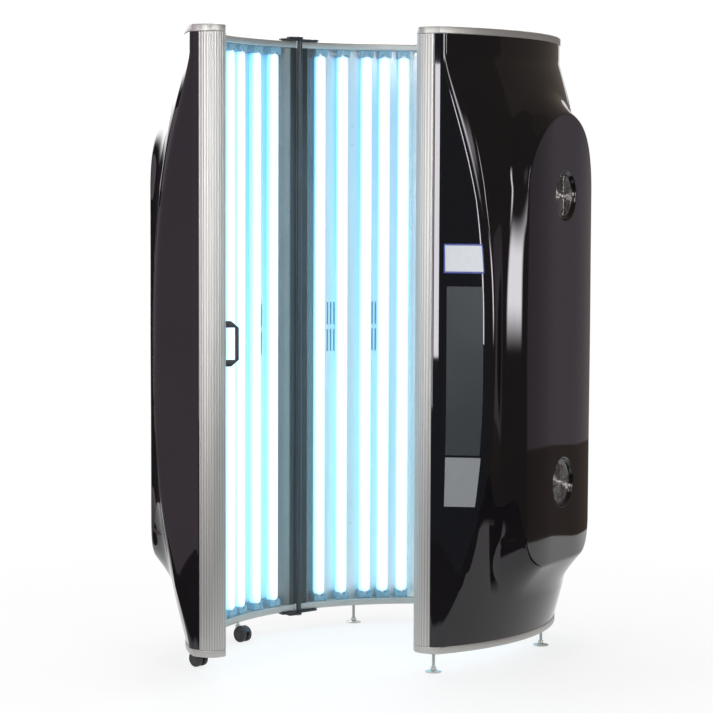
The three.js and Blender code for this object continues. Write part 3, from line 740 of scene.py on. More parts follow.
def end_outline(kind):
    """Outline of a section's end at +x, from the rail's arc to the rim's arc."""
    if kind == "stile":
        x, y = END - CORNER_ROUND, rim_depth(END - CORNER_ROUND) + RIM_PROUD
        turns = [math.pi / 2 * s for s in steps(6)]
        corner = [(x + CORNER_ROUND * math.cos(t), y - CORNER_ROUND * (1 - math.sin(t))) for t in turns]
        return [(END, arc_depth(RAIL_RADIUS, END)), *corner]
    heel = post_point(-POST_WIDTH / 2, -POST_DEPTH)
    toe = post_point(POST_WIDTH / 2, -POST_DEPTH)
    behind = [(lerp(heel[0], toe[0], s), lerp(heel[1], toe[1], s)) for s in steps(60)]
    meet = next(x for x, y in behind if y > arc_depth(RAIL_RADIUS, x))
    face = [post_point(POST_WIDTH * (s - 0.5), dome(POST_WIDTH * (s - 0.5))) for s in steps(24)]
    lip = (LIP[0] + RIM_PROUD, LIP[1])
    knee = (KNEE[0] + RIM_PROUD, KNEE[1] + RIM_PROUD)
    rim_end = (END, RIM_END + RIM_PROUD)
    return [(meet, arc_depth(RAIL_RADIUS, meet)), heel, *face, lip, knee, rim_end]


ARC_STEPS = 64


def frame_outline(section):
    """Crescent between the rail's arc and the rim, closed by the section's two ends."""
    right = end_outline(section.ends[1])
    left = mirrored(end_outline(section.ends[-1]))
    rail_xs = [lerp(left[-1][0], right[0][0], s) for s in steps(ARC_STEPS)[1:-1]]
    rail = [(x, arc_depth(RAIL_RADIUS, x)) for x in rail_xs]
    rim_xs = [lerp(right[-1][0], left[0][0], s) for s in steps(ARC_STEPS)[1:-1]]
    rim = [(x, rim_depth(x) + RIM_PROUD) for x in rim_xs]
    return [*rail, *right, *rim, *left]


HOLE_SPARE = 0.002


def castor_stem(spot):
    """Place of a castor's stem in plan, on the axis that it swivels about."""
    joint = next(j for j in frame["joints"] if j["name"] == f"{spot}_castor_swivel")
    return joint["pos_m"][:2]


def stem_holes(section):
    """Holes in a section's bottom frame for its feet's studs or its castors' stems."""
    if section is DOOR:
        spots = [castor_stem(castor) for castor in CASTORS]
    else:
        spots = [middle_of(foot).xy for foot in FEET[section.name]]
    low, high = FRAME_BASE - HOLE_SPARE, FRAME_BASE + FRAME_THICKNESS + HOLE_SPARE
    holes = Shape()
    for spot in spots:
        holes.rod(STEM_RADIUS + STEM_FIT, low, high, 32, Matrix.Translation((*spot, 0)))
    return holes


def build_frames(section):
    """Top and bottom frames of a section, the bottom one with its stem holes."""
    outline = frame_outline(section)
    levels = {"top": (BOOTH_HEIGHT - FRAME_THICKNESS, None), "bottom": (FRAME_BASE, stem_holes(section))}
    for level, (low, holes) in levels.items():
        shape = Shape().prism(outline, low, low + FRAME_THICKNESS, section.place)
        name = f"{section.name}_{level}_frame"
        piece(name + "_trim", shape, "silver", section.body, [name],
              bevel=0.003, rounds=3, angle=50, cutter=holes)


def build_post(section, side):
    """Drawn post with a fluted, domed face."""
    half = POST_WIDTH / 2
    pitch = POST_WIDTH / POST_FLUTES
    face = []
    for s in steps(POST_FLUTES * 12):
        across = POST_WIDTH * (s - 0.5)
        face.append(post_point(across, dome(across) - FLUTE_DEPTH * groove(across / pitch)))
    outline = [post_point(half, -POST_DEPTH), post_point(-half, -POST_DEPTH), *face]
    shape = Shape().prism(sided(outline, side), INNER_LOW, INNER_HIGH, section.place)
    name = f"{section.name}_post"
    back = section.place.inverted()
    middle = post_point(0, 0)

    # Groove mark on the post's face, which its material turns into painted shade in the flutes
    def depth(point):
        local = back @ point
        x = abs(local.x) - middle[0]
        y = local.y - middle[1]
        across = x * math.sin(POST_TILT) + y * math.cos(POST_TILT)
        out = x * math.cos(POST_TILT) - y * math.sin(POST_TILT)
        return groove(across / pitch) if out > -POST_DEPTH / 2 else 0.0

    piece(name + "_drawn", shape, "post", section.body, [name], angle=50, mark=("groove", depth))


def groove(turn):
    """Depth of the flutes across the post, from 0 on a land to 1 at the bottom of a flute."""
    return (0.5 - 0.5 * math.cos(2 * math.pi * turn)) ** 3


# Lip behind a stile's edge, and the bead on the door's inner corner
LIP_REACH = 0.0022
LIP_LAP = 0.001
LIP_THICKNESS = 0.0012
BEAD_WIDTH = 0.0012
BEAD_FRONT = 0.0016
BEAD_BACK = 0.0004


def build_stile(section, side):
    """Dark edge of a section at a corner; the door's has a thin bright bead on its inner corner."""
    far, near = END, END - STILE_WIDTH
    front = [(x, arc_depth(RAIL_RADIUS, x) + SHIELD_SETBACK) for x in (near, far)]
    rear = [(x, rim_depth(x) - SHELL_WALL - STILE_CLEARANCE) for x in (far, near)]
    shape = Shape().prism(sided(front + rear, side), INNER_LOW, INNER_HIGH, section.place)
    x, y = front[1]
    lip = oblong(x - LIP_LAP, x + LIP_REACH, y, y + LIP_THICKNESS)
    shape.prism(sided(lip, side), INNER_LOW, INNER_HIGH, section.place)
    end = "right" if side > 0 else "left"
    name = f"{section.name}_{end}_stile"
    piece(name + "_moulding", shape, "dark", section.body, [name], bevel=0.0004)
    if section is DOOR:
        bead = oblong(x - BEAD_WIDTH, x, y - BEAD_FRONT, y - BEAD_BACK)
        shape = Shape().prism(sided(bead, side), INNER_LOW, INNER_HIGH, section.place)
        piece(name + "_bead", shape, "return", section.body, bevel=0.0003)


def curved_sheet(section, radius, thickness, half_width):
    """Sheet on a section's arc, between its top and bottom frames."""
    far = radius + thickness
    reach = math.asin(half_width / far)
    turns = [lerp(-reach, reach, s) for s in steps(ARC_STEPS)]
    inner, outer = ([(r * math.sin(t), ARC_CENTRE + r * math.cos(t)) for t in turns] for r in (radius, far))
    return Shape().prism(inner + outer[::-1], INNER_LOW, INNER_HIGH, section.place)


# Reflector: vent slots, baffles behind them, curved returns and screws
VENT_GROUPS = (-0.291, -0.140, 0.140, 0.291)
VENT_OFFSETS = (-0.0165, -0.0055, 0.0055, 0.0165)
VENT_ROWS = ((0.920, 0.994), (1.009, 1.084))
VENT_WIDTH = 0.005
VENT_CUT = 0.02
BAFFLE_WIDTH = 0.05
BAFFLE_THICKNESS = 0.001
BAFFLE_SETBACK = 0.0035
BAFFLE_MARGIN = 0.01
RETURN_CLEARANCE = 0.0015
RETURN_THICKNESS = 0.0008
REFLECTOR_SCREW = ((0, 0), (0.0035, 0), (0.0035, 0.0012), (0.0022, 0.002), (0, 0.0022))
SCREW_PLACES = [(x, z) for x in (-0.215, 0.215) for z in (0.335, 0.400, 1.608, 1.671)]


def on_arc(section, radius, x, z):
    """Place on a section's arc with y out of the booth."""
    angle = -math.asin(x / radius)
    spot = Matrix.Translation((x, arc_depth(radius, x), z)) @ Matrix.Rotation(angle, 4, "Z")
    return section.place @ spot


def build_lamp_side(section):
    """Everything on the inside of a section."""
    build_reflector(section)
    shield = curved_sheet(section, SHIELD_RADIUS, SHIELD_THICKNESS, SHEET_REACH)
    name = section.name
    piece(name + "_clear_shield", shield, "acrylic", section.body, [name + "_shield"])
    build_lamps(section)
    build_returns(section)
    build_strip(section)
    facing = Matrix.Rotation(math.radians(90), 4, "X")
    places = [on_arc(section, REFLECTOR_RADIUS, x, z) @ facing for x, z in SCREW_PLACES]
    head = Shape().lathe(REFLECTOR_SCREW, 14)
    copies(name + "_reflector_screws", head, places, "zinc", section.body)


def build_reflector(section):
    """Reflector sheet with its vent slots, and a baffle behind each group of slots."""
    name, body = section.name, section.body
    slots = Shape()
    for x in [group + offset for group in VENT_GROUPS for offset in VENT_OFFSETS]:
        for low, high in VENT_ROWS:
            place = on_arc(section, REFLECTOR_RADIUS, x, (low + high) / 2)
            slots.box((VENT_WIDTH, VENT_CUT, high - low), place)
    reach = SHEET_REACH - REFLECTOR_MARGIN
    sheet = curved_sheet(section, REFLECTOR_RADIUS, REFLECTOR_THICKNESS, reach)
    piece(name + "_reflector_sheet", sheet, "mirror", body, [name + "_reflector"], cutter=slots)
    baffles = Shape()
    low, high = VENT_ROWS[0][0] - BAFFLE_MARGIN, VENT_ROWS[1][1] + BAFFLE_MARGIN
    for group in VENT_GROUPS:
        place = on_arc(section, REFLECTOR_RADIUS, group, (low + high) / 2)
        behind = place @ Matrix.Translation((0, BAFFLE_SETBACK, 0))
        baffles.box((BAFFLE_WIDTH, BAFFLE_THICKNESS, high - low), behind)
    piece(name + "_vent_baffles", baffles, "vent", body)


def build_returns(section):
    """Curved end of the reflector at each stile, from the sheet's edge to the back of the shield."""
    start = SHEET_REACH - REFLECTOR_MARGIN
    back = arc_depth(REFLECTOR_RADIUS, start)
    front = arc_depth(SHIELD_RADIUS, SHEET_REACH) + SHIELD_THICKNESS + RETURN_CLEARANCE
    turns = [math.pi / 2 * s for s in steps(16)]
    run = REFLECTOR_MARGIN - RETURN_CLEARANCE
    curve = [(start + run * math.sin(t), lerp(front, back, math.cos(t))) for t in turns]
    outer = [(x + RETURN_THICKNESS, y) for x, y in curve]
    shape = Shape()
    for side, kind in section.ends.items():
        if kind == "stile":
            shape.prism(sided(curve + outer[::-1], side), INNER_LOW, INNER_HIGH, section.place)
    piece(section.name + "_reflector_return", shape, "return", section.body, angle=60)


# Lamp ends, their caps, and holders with two ears
LAMP_END_ROUND = 0.012
LAMP_SEAT = 0.004
LAMP_CAP_RADIUS = 0.0125
LAMP_CAP_HEIGHTS = (0.014, 0.0215)
HOLDER_SIZE = (0.040, 0.034, SOCKET_HEIGHT * 0.62)
HOLDER_LIFT = 0.0005
EAR_SIZE = (0.012, 0.036, SOCKET_HEIGHT)
EAR_PLACE = 0.016


def lamp_places(section):
    """Places of a section's lamps, alike in both halves."""
    spots = [*LAMP_SPOTS, *(CHORD - s for s in LAMP_SPOTS)]
    return [on_arc(section, LAMP_RADIUS, s - HALF, 0) for s in sorted(spots)]


def build_lamps(section):
    """Lit tubes with rounded shoulders, metal caps and tinted holders."""
    radius = LAMP_DIAMETER / 2
    low = INNER_LOW + SOCKET_HEIGHT - LAMP_SEAT
    high = INNER_HIGH - SOCKET_HEIGHT + LAMP_SEAT
    quarter = [math.pi / 2 * s for s in steps(6)]
    neck = radius - LAMP_END_ROUND
    foot = [(neck + LAMP_END_ROUND * math.sin(t), low + LAMP_END_ROUND * (1 - math.cos(t))) for t in quarter]
    head = [(r, low + high - z) for r, z in foot[::-1]]
    tube = Shape().lathe([(0, low), *foot, *head, (0, high)], 24)
    name, body = section.name, section.body
    places = lamp_places(section)
    front = ("front", lambda point: 0.5 - 0.5 * point.y / radius)
    copies(name + "_lamp_tubes", tube, places, "lamp", body, [name + "_lamp_bank"], mark=front)
    holder = Shape()
    cap = Shape()
    for base, sign in ((INNER_LOW, 1), (INNER_HIGH, -1)):
        middle = base + sign * (HOLDER_SIZE[2] / 2 + HOLDER_LIFT)
        holder.box(HOLDER_SIZE, Matrix.Translation((0, 0, middle)))
        for x in (EAR_PLACE, -EAR_PLACE):
            holder.box(EAR_SIZE, Matrix.Translation((x, 0, base + sign * SOCKET_HEIGHT / 2)))
        cap.rod(LAMP_CAP_RADIUS, *(base + sign * height for height in LAMP_CAP_HEIGHTS), 20)
    copies(name + "_lamp_holders", holder, places, "socket", body, bevel=0.0012)
    copies(name + "_lamp_caps", cap, places, "cap", body)


# Joint strip of a shield and its brackets
STRIP_PLACE = -0.019
STRIP_WIDTH = 0.010
STRIP_THICKNESS = 0.0012
STRIP_SHORT = 0.004
BRACKET_SIZE = (0.014, 0.0016, 0.022)
BRACKET_SHIFT = 0.012
BRACKET_INSET = 0.014


def build_strip(section):
    """Clear joint strip down the middle of the shield, held by a small bracket at each end."""
    name, body = section.name, section.body
    place = on_arc(section, SHIELD_RADIUS, STRIP_PLACE, (INNER_LOW + INNER_HIGH) / 2)
    size = (STRIP_WIDTH, STRIP_THICKNESS, INNER_HIGH - INNER_LOW - STRIP_SHORT)
    strip = Shape().box(size, place @ Matrix.Translation((0, -STRIP_THICKNESS, 0)))
    piece(name + "_joint_strip", strip, "strip", body, bevel=0.0004)
    brackets = Shape()
    for z in (INNER_LOW + BRACKET_INSET, INNER_HIGH - BRACKET_INSET):
        spot = on_arc(section, SHIELD_RADIUS, STRIP_PLACE + BRACKET_SHIFT, z)
        brackets.box(BRACKET_SIZE, spot @ Matrix.Translation((0, -BRACKET_SIZE[1], 0)))
    piece(name + "_strip_brackets", brackets, "zinc", body, bevel=0.0005)


def barrel_rise(z):
    """How far the barrel has risen from the frames' edge at a height, from 0 to 1."""
    span = BARREL_UP if z > BARREL_MIDDLE else BARREL_DOWN
    return max(0.0, 1 - abs((z - BARREL_MIDDLE) / span) ** BARREL_POWER)


def crease_reach(z):
    """How far the crease is from the middle at a height."""
    return HALF - lerp(CREASE_REST_INSET, CREASE_INSET, barrel_rise(z) ** CREASE_POWER)


def pod_end(z):
    """Corner radius of the pod's outline, how far z is past its straight sides, and its wall's run."""
    if z > BARREL_MIDDLE:
        return POD_HALF_WIDTH, max(0.0, z - ARCH_BASE), POD_WALL["top"]
    return POD_CORNER, max(0.0, CORNER_BASE - z), POD_WALL["bottom"]


def pod_fall(x, z):
    """0 on the pod's face, 1 from the foot of its wall outwards."""
    corner, past, run = pod_end(z)
    across = max(0.0, abs(x) - POD_HALF_WIDTH + corner)
    reach = math.hypot(across, past)
    wall = lerp(POD_WALL["side"], run, past / reach if reach > 0 else 0)
    return min(1.0, soft_max((reach - corner) / wall, 0, POD_EDGE_ROUND))


def pod_reach(z, down):
    """Half width of the pod at a height, some way down its wall."""
    corner, past, run = pod_end(z)
    turn = math.sqrt(max(0.0, 1 - (past / (corner + down * run)) ** 2))
    return POD_HALF_WIDTH - corner + (corner + down * POD_WALL["side"]) * turn


def soft_min(a, b, width):
    """The smaller of two values, rounded off where they meet."""
    near = max(width - abs(a - b), 0) / width
    return min(a, b) - near * near * width / 4


def soft_max(a, b, width):
    return -soft_min(-a, -b, width)


def shell_edge(kind):
    """Where the shell's facet ends, from the middle."""
    return END if kind == "stile" else KNEE[0]


def facet_start(z, edge):
    """Where the steep facet begins, between the crease and the edge."""
    rise = barrel_rise(z)
    lower = lerp(FACET_LOW_SHARE, 1, min(1.0, max(0.0, (z - BARREL_MIDDLE / 2) / (BARREL_MIDDLE / 2))))
    run = FACET_RUN * lower * lerp(FACET_REST, 1, rise**FACET_POWER)
    return edge - min(run, FACET_MOST * (edge - crease_reach(z)))


def valley(reach, z, crease):
    """Depth of the hollow beside the pod that keeps the pod's wall standing where the barrel is high."""
    hollow = max(0.0, POD_STAND - BARREL_RISE * (1 - barrel_rise(z)))
    climb = (reach - VALLEY_START) / (VALLEY_PLACE - VALLEY_START)
    back = (crease - reach) / (crease - VALLEY_PLACE)
    return hollow * max(0.0, soft_min(climb, back, VALLEY_ROUND))


def shell_side(reach, z, edge):
    """Depth of the shell beside the pod: barrel to the crease, then a shoulder, then the facet."""
    crease = crease_reach(z)
    lift = BARREL_RISE * barrel_rise(z)
    if reach <= crease:
        return rim_depth(reach) + lift - valley(reach, z, crease)
    foot = rim_depth(edge)
    crest = rim_depth(crease) + lift
    start = facet_start(z, edge)
    top = foot + min(FACET_SLOPE * (edge - start), FACET_MOST * (crest - foot))
    if reach <= start:
        return lerp(crest, top, (reach - crease) / (start - crease))
    return lerp(top, foot, (reach - start) / (edge - start))


def shell_depth(x, z, edge):
    """Depth of the shell at a point: its sides with their folds rounded, and the pod on them."""
    reach = abs(x)
    if reach > edge:
        return rim_depth(reach)
    room = min(CREASE_ROUND, edge - reach)
    near = [shell_side(reach + shift * room, z, edge) for shift in (-1, -0.5, 0, 0.5, 1)]
    side = sum(near) / len(near)
    bow = max(0.0, reach - POD_FLAT) / (POD_HALF_WIDTH - POD_FLAT)
    face = POD_FACE - POD_BOW * bow**2
    return lerp(side, face, (1 - pod_fall(x, z)) ** 2)


# Grid of the shell: columns between its marks, its rows, and how they gather at folds and at the pod's ends
COLUMN_COUNTS = (10, 5, 12, 12, 5, 5, 5, 6)
FACE_LEAST = 0.2
FOOT_LEAST = 0.6
FACE_SPREAD = 0.008
FOLD_SPREAD = 0.0045
SPREAD_MOST = 0.45
LIP_FOLD = 0.0007
SHELL_ROWS = 220
ROW_LEAST = 0.0008
TOP_ROWS = [POD_TOP + 0.0012 * i for i in range(-12, 6)]
BOTTOM_ROWS = [POD_BOTTOM + 0.0015 * i for i in range(-6, 12)]
HOLE_REACH = 0.03


def shell_columns(z, kind):
    """Columns from the middle to an edge, gathered on the pod's wall, the crease and the shoulder."""
    crease = crease_reach(z)
    edge = shell_edge(kind)
    shoulder = facet_start(z, edge)
    face = max(pod_reach(z, 0), FACE_LEAST * crease)
    foot = max(pod_reach(z, 1), FOOT_LEAST * crease)
    spread = min(FOLD_SPREAD, (shoulder - crease) * SPREAD_MOST, (edge - shoulder) * SPREAD_MOST)
    marks = [0, face - FACE_SPREAD, face + FACE_SPREAD, foot]
    marks += [crease - spread, crease + spread, shoulder - spread, shoulder + spread, edge]
    columns = [0.0]
    for a, b, count in zip(marks, marks[1:], COLUMN_COUNTS):
        columns += [lerp(a, b, s) for s in steps(count)[1:]]
    if kind == "stile":
        return columns
    fold = [edge - LIP_FOLD, edge, edge + LIP_FOLD, lerp(edge, LIP[0], 0.5), LIP[0] - LIP_FOLD / 2, LIP[0]]
    return columns[:-1] + fold


def shell_heights():
    """Even rows, with more of them where the pod's face ends at the top and at the bottom."""
    even = [lerp(INNER_LOW, INNER_HIGH, s) for s in steps(SHELL_ROWS)]
    close = TOP_ROWS + BOTTOM_ROWS
    return sorted(close + [z for z in even if min(abs(z - c) for c in close) > ROW_LEAST])


def build_shell(section):
    """Moulded shell of a section with its fan holes, and the fans in them."""
    edges = {side: shell_edge(kind) for side, kind in section.ends.items()}
    grid = []
    for z in shell_heights():
        left = [(-x, edges[-1]) for x in shell_columns(z, section.ends[-1])[:0:-1]]
        right = [(x, edges[1]) for x in shell_columns(z, section.ends[1])]
        row = [Vector((x, shell_depth(x, z, edge), z)) for x, edge in left + right]
        grid.append([section.place @ p for p in row])
    inward = section.place.to_3x3() @ Vector((0, -SHELL_WALL, 0))
    holes = Shape()
    for height in FAN_HEIGHTS.values():
        place = fan_place(section, height)
        holes.rod(RECESS_RIM, POD_FACE - HOLE_REACH, POD_FACE + HOLE_REACH, 96, place)
    name = section.name + "_shell"
    piece(name + "_moulding", Shape().skin(grid, inward), "shell", section.body, [name],
          angle=40, cutter=holes)
    for level, height in FAN_HEIGHTS.items():
        build_fan(section, level, height)


def fan_place(section, height):
    """Place on a fan's axis with z out of the booth."""
    return section.place @ Matrix.Translation((0, 0, height)) @ Matrix.Rotation(math.radians(-90), 4, "X")


GUARD_SIZES = {
    "Inner Radius": 0.010,
    "Ring Pitch": 0.0064,
    "Outer Radius": 0.062,
    "Wire Radius": 0.0008,
    "Rings": 9,
}
GUARD_SETBACK = 0.010
GUARD_BOSS = ((0, -0.0008), (0.0065, -0.0008), (0.0075, 0), (0.0065, 0.0012), (0, 0.0016))
SPOKES = 4
RING_STEPS = 48
WIRE_STEPS = 8


def guard_tree():
    """Wire finger guard: even rings and four spokes, from an inner radius outwards."""
    lengths = ("Inner Radius", "Ring Pitch", "Outer Radius", "Wire Radius")
    inputs = {"Geometry": "Geometry", **dict.fromkeys(lengths, "Float"), "Rings": "Int", "Finish": "Material"}
    tree, given = new_tree("finger_guard", inputs)

    def circle(count, radius):
        return add_node(tree, "GeometryNodeCurvePrimitiveCircle", {"Resolution": count, "Radius": radius})

    def along(axis, value):
        return add_node(tree, "ShaderNodeCombineXYZ", {axis: value}).outputs[0]

    def repeated(curve, count, **values):
        """Copies of a curve about the origin, each with its own size or turn."""
        line = add_node(tree, "GeometryNodeMeshLine", {"Count": count, "Offset": (0, 0, 0)})
        sockets = {"Points": line.outputs[0], "Instance": curve.outputs[0], **values}
        return add_node(tree, "GeometryNodeInstanceOnPoints", sockets).outputs[0]

    index = Field(tree, add_node(tree, "GeometryNodeInputIndex").outputs[0])
    size = index * given["Ring Pitch"] + given["Inner Radius"]
    rings = repeated(circle(RING_STEPS, 1.0), given["Rings"], Scale=size)
    ends = {"Start": along("X", given["Inner Radius"]), "End": along("X", given["Outer Radius"])}
    spoke = add_node(tree, "GeometryNodeCurvePrimitiveLine", ends)
    spokes = repeated(spoke, SPOKES, Rotation=along("Z", index * (2 * math.pi / SPOKES)))
    both = add_node(tree, "GeometryNodeJoinGeometry", {0: rings})
    feed(tree, both.inputs[0], spokes)
    real = add_node(tree, "GeometryNodeRealizeInstances", {"Geometry": both.outputs[0]})
    wire = circle(WIRE_STEPS, given["Wire Radius"])
    solid = add_node(tree, "GeometryNodeCurveToMesh", {
        "Curve": real.outputs[0],
        "Profile Curve": wire.outputs[0],
        "Fill Caps": True,
    })
    return end_tree(tree, solid.outputs[0], given["Finish"])


GUARD = guard_tree()

# Turned profile of a fan's recess: radius, and depth below the pod's face
RECESS_PROFILE = (
    (RECESS_RIM, 0.004), (RECESS_RIM, 0), (RECESS_RIM - 0.001, 0), (RECESS_RADIUS - 0.004, 0.0008),
    (RECESS_RADIUS - 0.006, 0.004), (RECESS_RADIUS - 0.009, 0.010), (RECESS_RADIUS - 0.013, 0.0125),
    (FAN_BORE / 2 + 0.002, 0.013), (FAN_BORE / 2, 0.0145), (FAN_BORE / 2, 0.017),
    (RECESS_RADIUS - 0.008, 0.017), (RECESS_RIM, 0.004),
)
CASE_BACK = POD_FACE - SHELL_WALL - GAP - FAN_DEPTH
CASE_FRONT = POD_FACE - SHELL_WALL - GAP - 0.010
BORE_SPARE = 0.01
STRUT_SIZE = (0.042, 0.006, 0.003)
STRUT_PLACE = 0.037
STRUT_TURN = 0.4


def build_fan(section, level, height):
    """Recess in the pod, fan case with its motor on struts, impeller and finger guard."""
    name = f"{section.name}_{level}_fan"
    body = section.body
    place = fan_place(section, height)
    recess = Shape().lathe([(radius, POD_FACE - depth) for radius, depth in RECESS_PROFILE], 72, place)
    piece(name + "_recess", recess, "shell", body, angle=60)
    half = FAN_SIZE / 2
    case = Shape().prism(oblong(-half, half, -half, half), CASE_BACK, CASE_FRONT, place)
    bore = Shape().rod(FAN_BORE / 2, CASE_BACK - BORE_SPARE, CASE_FRONT + BORE_SPARE, 64, place)
    piece(name + "_case", case, "black", body, [name + "_housing"], bevel=0.003, cutter=bore)
    motor = Shape().rod(MOTOR_RADIUS, CASE_BACK, CASE_BACK + MOTOR_DEPTH, 40, place)
    for turn in range(3):
        spin = place @ Matrix.Rotation(turn * 2 * math.pi / 3 + STRUT_TURN, 4, "Z")
        motor.box(STRUT_SIZE, spin @ Matrix.Translation((STRUT_PLACE, 0, CASE_BACK + STRUT_SIZE[2] / 2)))
    piece(name + "_motor", motor, "black", body, bevel=0.0006)
    build_impeller(section, level, place)
    build_guard(name, body, place @ Matrix.Translation((0, 0, POD_FACE - GUARD_SETBACK)))


# Impeller: its reach along the axis, the hub's end, and the blades from hub to tip
HUB_LOW = CASE_BACK + MOTOR_DEPTH + 0.001
HUB_HIGH = CASE_FRONT - 0.004
HUB_ROUND = 0.003
HUB_CROWN = 0.0004
BLADE_STEPS = 6
BLADE_REACH = (MOTOR_RADIUS - 0.002, FAN_BORE / 2 - 0.003)
BLADE_SWEEP = 0.35
BLADE_PITCH = (48, 26)
BLADE_CHORD = (0.016, 0.030)
BLADE_CAMBER = 0.0022
BLADE_HEIGHTS = (HUB_LOW + 0.0005, HUB_HIGH - 0.0012)
BLADE_THICKNESS = 0.0011


def blade_row(s):
    """Points across a blade, some way from the hub to the tip."""
    radius = lerp(*BLADE_REACH, s)
    pitch = math.radians(lerp(*BLADE_PITCH, s))
    row = []
    for t in steps(BLADE_STEPS):
        along = lerp(*BLADE_CHORD, s) * (t - 0.5)
        camber = BLADE_CAMBER * (1 - (2 * t - 1) ** 2)
        turn = BLADE_SWEEP * s * s + along * math.cos(pitch) / radius
        rise = (HUB_LOW + HUB_HIGH) / 2 + along * math.sin(pitch) + camber
        rise = min(max(rise, BLADE_HEIGHTS[0]), BLADE_HEIGHTS[1])
        row.append(Vector((radius * math.cos(turn), radius * math.sin(turn), rise)))
    return row


def build_impeller(section, level, place):
    """Hub with swept blades that spins with its own body."""
    name = f"{section.name}_{level}_fan_impeller"
    spinner = f"{section.name}_{level}_impeller"
    profile = [(0, HUB_LOW), (MOTOR_RADIUS, HUB_LOW), (MOTOR_RADIUS, HUB_HIGH - HUB_ROUND),
               (MOTOR_RADIUS - HUB_ROUND, HUB_HIGH), (0, HUB_HIGH + HUB_CROWN)]
    piece(name + "_hub", Shape().lathe(profile, 40, place), "black", spinner, [name], angle=30)
    blade = Shape().skin([blade_row(s) for s in steps(BLADE_STEPS)], (0, 0, BLADE_THICKNESS))
    spins = [place @ Matrix.Rotation(2 * math.pi * i / BLADE_COUNT, 4, "Z") for i in range(BLADE_COUNT)]
    copies(name + "_blades", blade, spins, "black", spinner)


def build_guard(name, body, place):
    """Finger guard with a round boss over the middle of its spokes."""
    obj = new_object(name + "_guard", bpy.data.meshes.new(name + "_guard"))
    modifier = obj.modifiers.new("guard", "NODES")
    modifier.node_group = GUARD
    give(modifier, {**GUARD_SIZES, "Finish": MATERIALS["wire"]})
    settle(obj, MATERIALS["wire"], 60)
    obj.data.transform(place)
    belongs(obj, body)
    boss = Shape().lathe(GUARD_BOSS, 40, place)
    piece(name + "_guard_boss", boss, "wire", body, angle=30)


# Blank plates on the front facet: reach across it from the shoulder, heights, and how proud they stand
PLATES = {
    "badge_rim": ((0.02, 0.90), (1.212, 1.299), 0.0008),
    "badge": ((0.05, 0.87), (1.217, 1.294), 0.0011),
    "band": ((0.08, 0.84), (0.667, 1.172), 0.0006),
    "plate": ((0.05, 0.84), (0.512, 0.660), 0.0008),
}
PLATE_ROWS = 40
PLATE_COLUMNS = 12
PLATE_LEAN = 0.25
PLATE_DEPTH = 1.4


def build_plate(name):
    """Thin plate laid on the side shell's facet and sunk a little into it."""
    across, heights, proud = PLATES[name]
    edge = shell_edge("post")
    outward = Vector((proud, proud * PLATE_LEAN, 0))
    rows = []
    for s in steps(PLATE_ROWS):
        z = lerp(*heights, s)
        start = facet_start(z, edge)
        xs = [lerp(start, edge, lerp(*across, t)) for t in steps(PLATE_COLUMNS)]
        rows.append([SIDE.place @ (Vector((x, shell_depth(x, z, edge), z)) + outward) for x in xs])
    inward = SIDE.place.to_3x3() @ (outward * -PLATE_DEPTH)
    piece("side_" + name, Shape().skin(rows, inward), name, "fixed", angle=50)


for plate in PLATES:
    build_plate(plate)

for booth_section in SECTIONS:
    build_frames(booth_section)
    build_shell(booth_section)
    build_lamp_side(booth_section)
    for end_side, end_kind in booth_section.ends.items():
        if end_kind == "post":
            build_post(booth_section, end_side)
        else:
            build_stile(booth_section, end_side)


# Handle on the door post, and the thin base under it
HANDLE_HEIGHT = 0.136
HANDLE_REACH = 0.040
HANDLE_GRIP = 0.011
HANDLE_LEG = 0.020
HANDLE_CHAMFER = 0.023
HANDLE_WIDTH = 0.014
HANDLE_MIDDLE = 1.000
HANDLE_BASE = (0.0016, HANDLE_HEIGHT - 0.002, HANDLE_WIDTH - 0.001)


def build_handle():
    """D-shaped handle on the inner edge of the door post."""
    half = HANDLE_HEIGHT / 2
    room = half - HANDLE_LEG
    lower = [(0, -half), (HANDLE_REACH - HANDLE_CHAMFER, -half), (HANDLE_REACH, HANDLE_LEG - half)]
    outer = lower + [(x, -y) for x, y in lower[::-1]]
    far = HANDLE_REACH - HANDLE_GRIP
    outline = [*outer, (0, room), (far, room), (far, -room), (0, -room)]
    seat = post_point(-POST_WIDTH / 2 - GAP, -POST_DEPTH / 2)
    inward = Vector((math.sin(POST_TILT), -math.cos(POST_TILT), 0))
    up = Vector((0, 0, 1))
    axes = Matrix((inward, up, inward.cross(up))).transposed().to_4x4()
    place = DOOR.place @ Matrix.Translation((-seat[0], seat[1], HANDLE_MIDDLE)) @ axes
    grip = Shape().prism(outline, -HANDLE_WIDTH / 2, HANDLE_WIDTH / 2, place)
    piece("door_handle_grip", grip, "black", "door", ["door_handle"], bevel=0.0028, rounds=3)
    base = Shape().box(HANDLE_BASE, place @ Matrix.Translation((HANDLE_BASE[0] / 2, 0, 0)))
    piece("door_handle_base", base, "black", "door", bevel=0.0005)


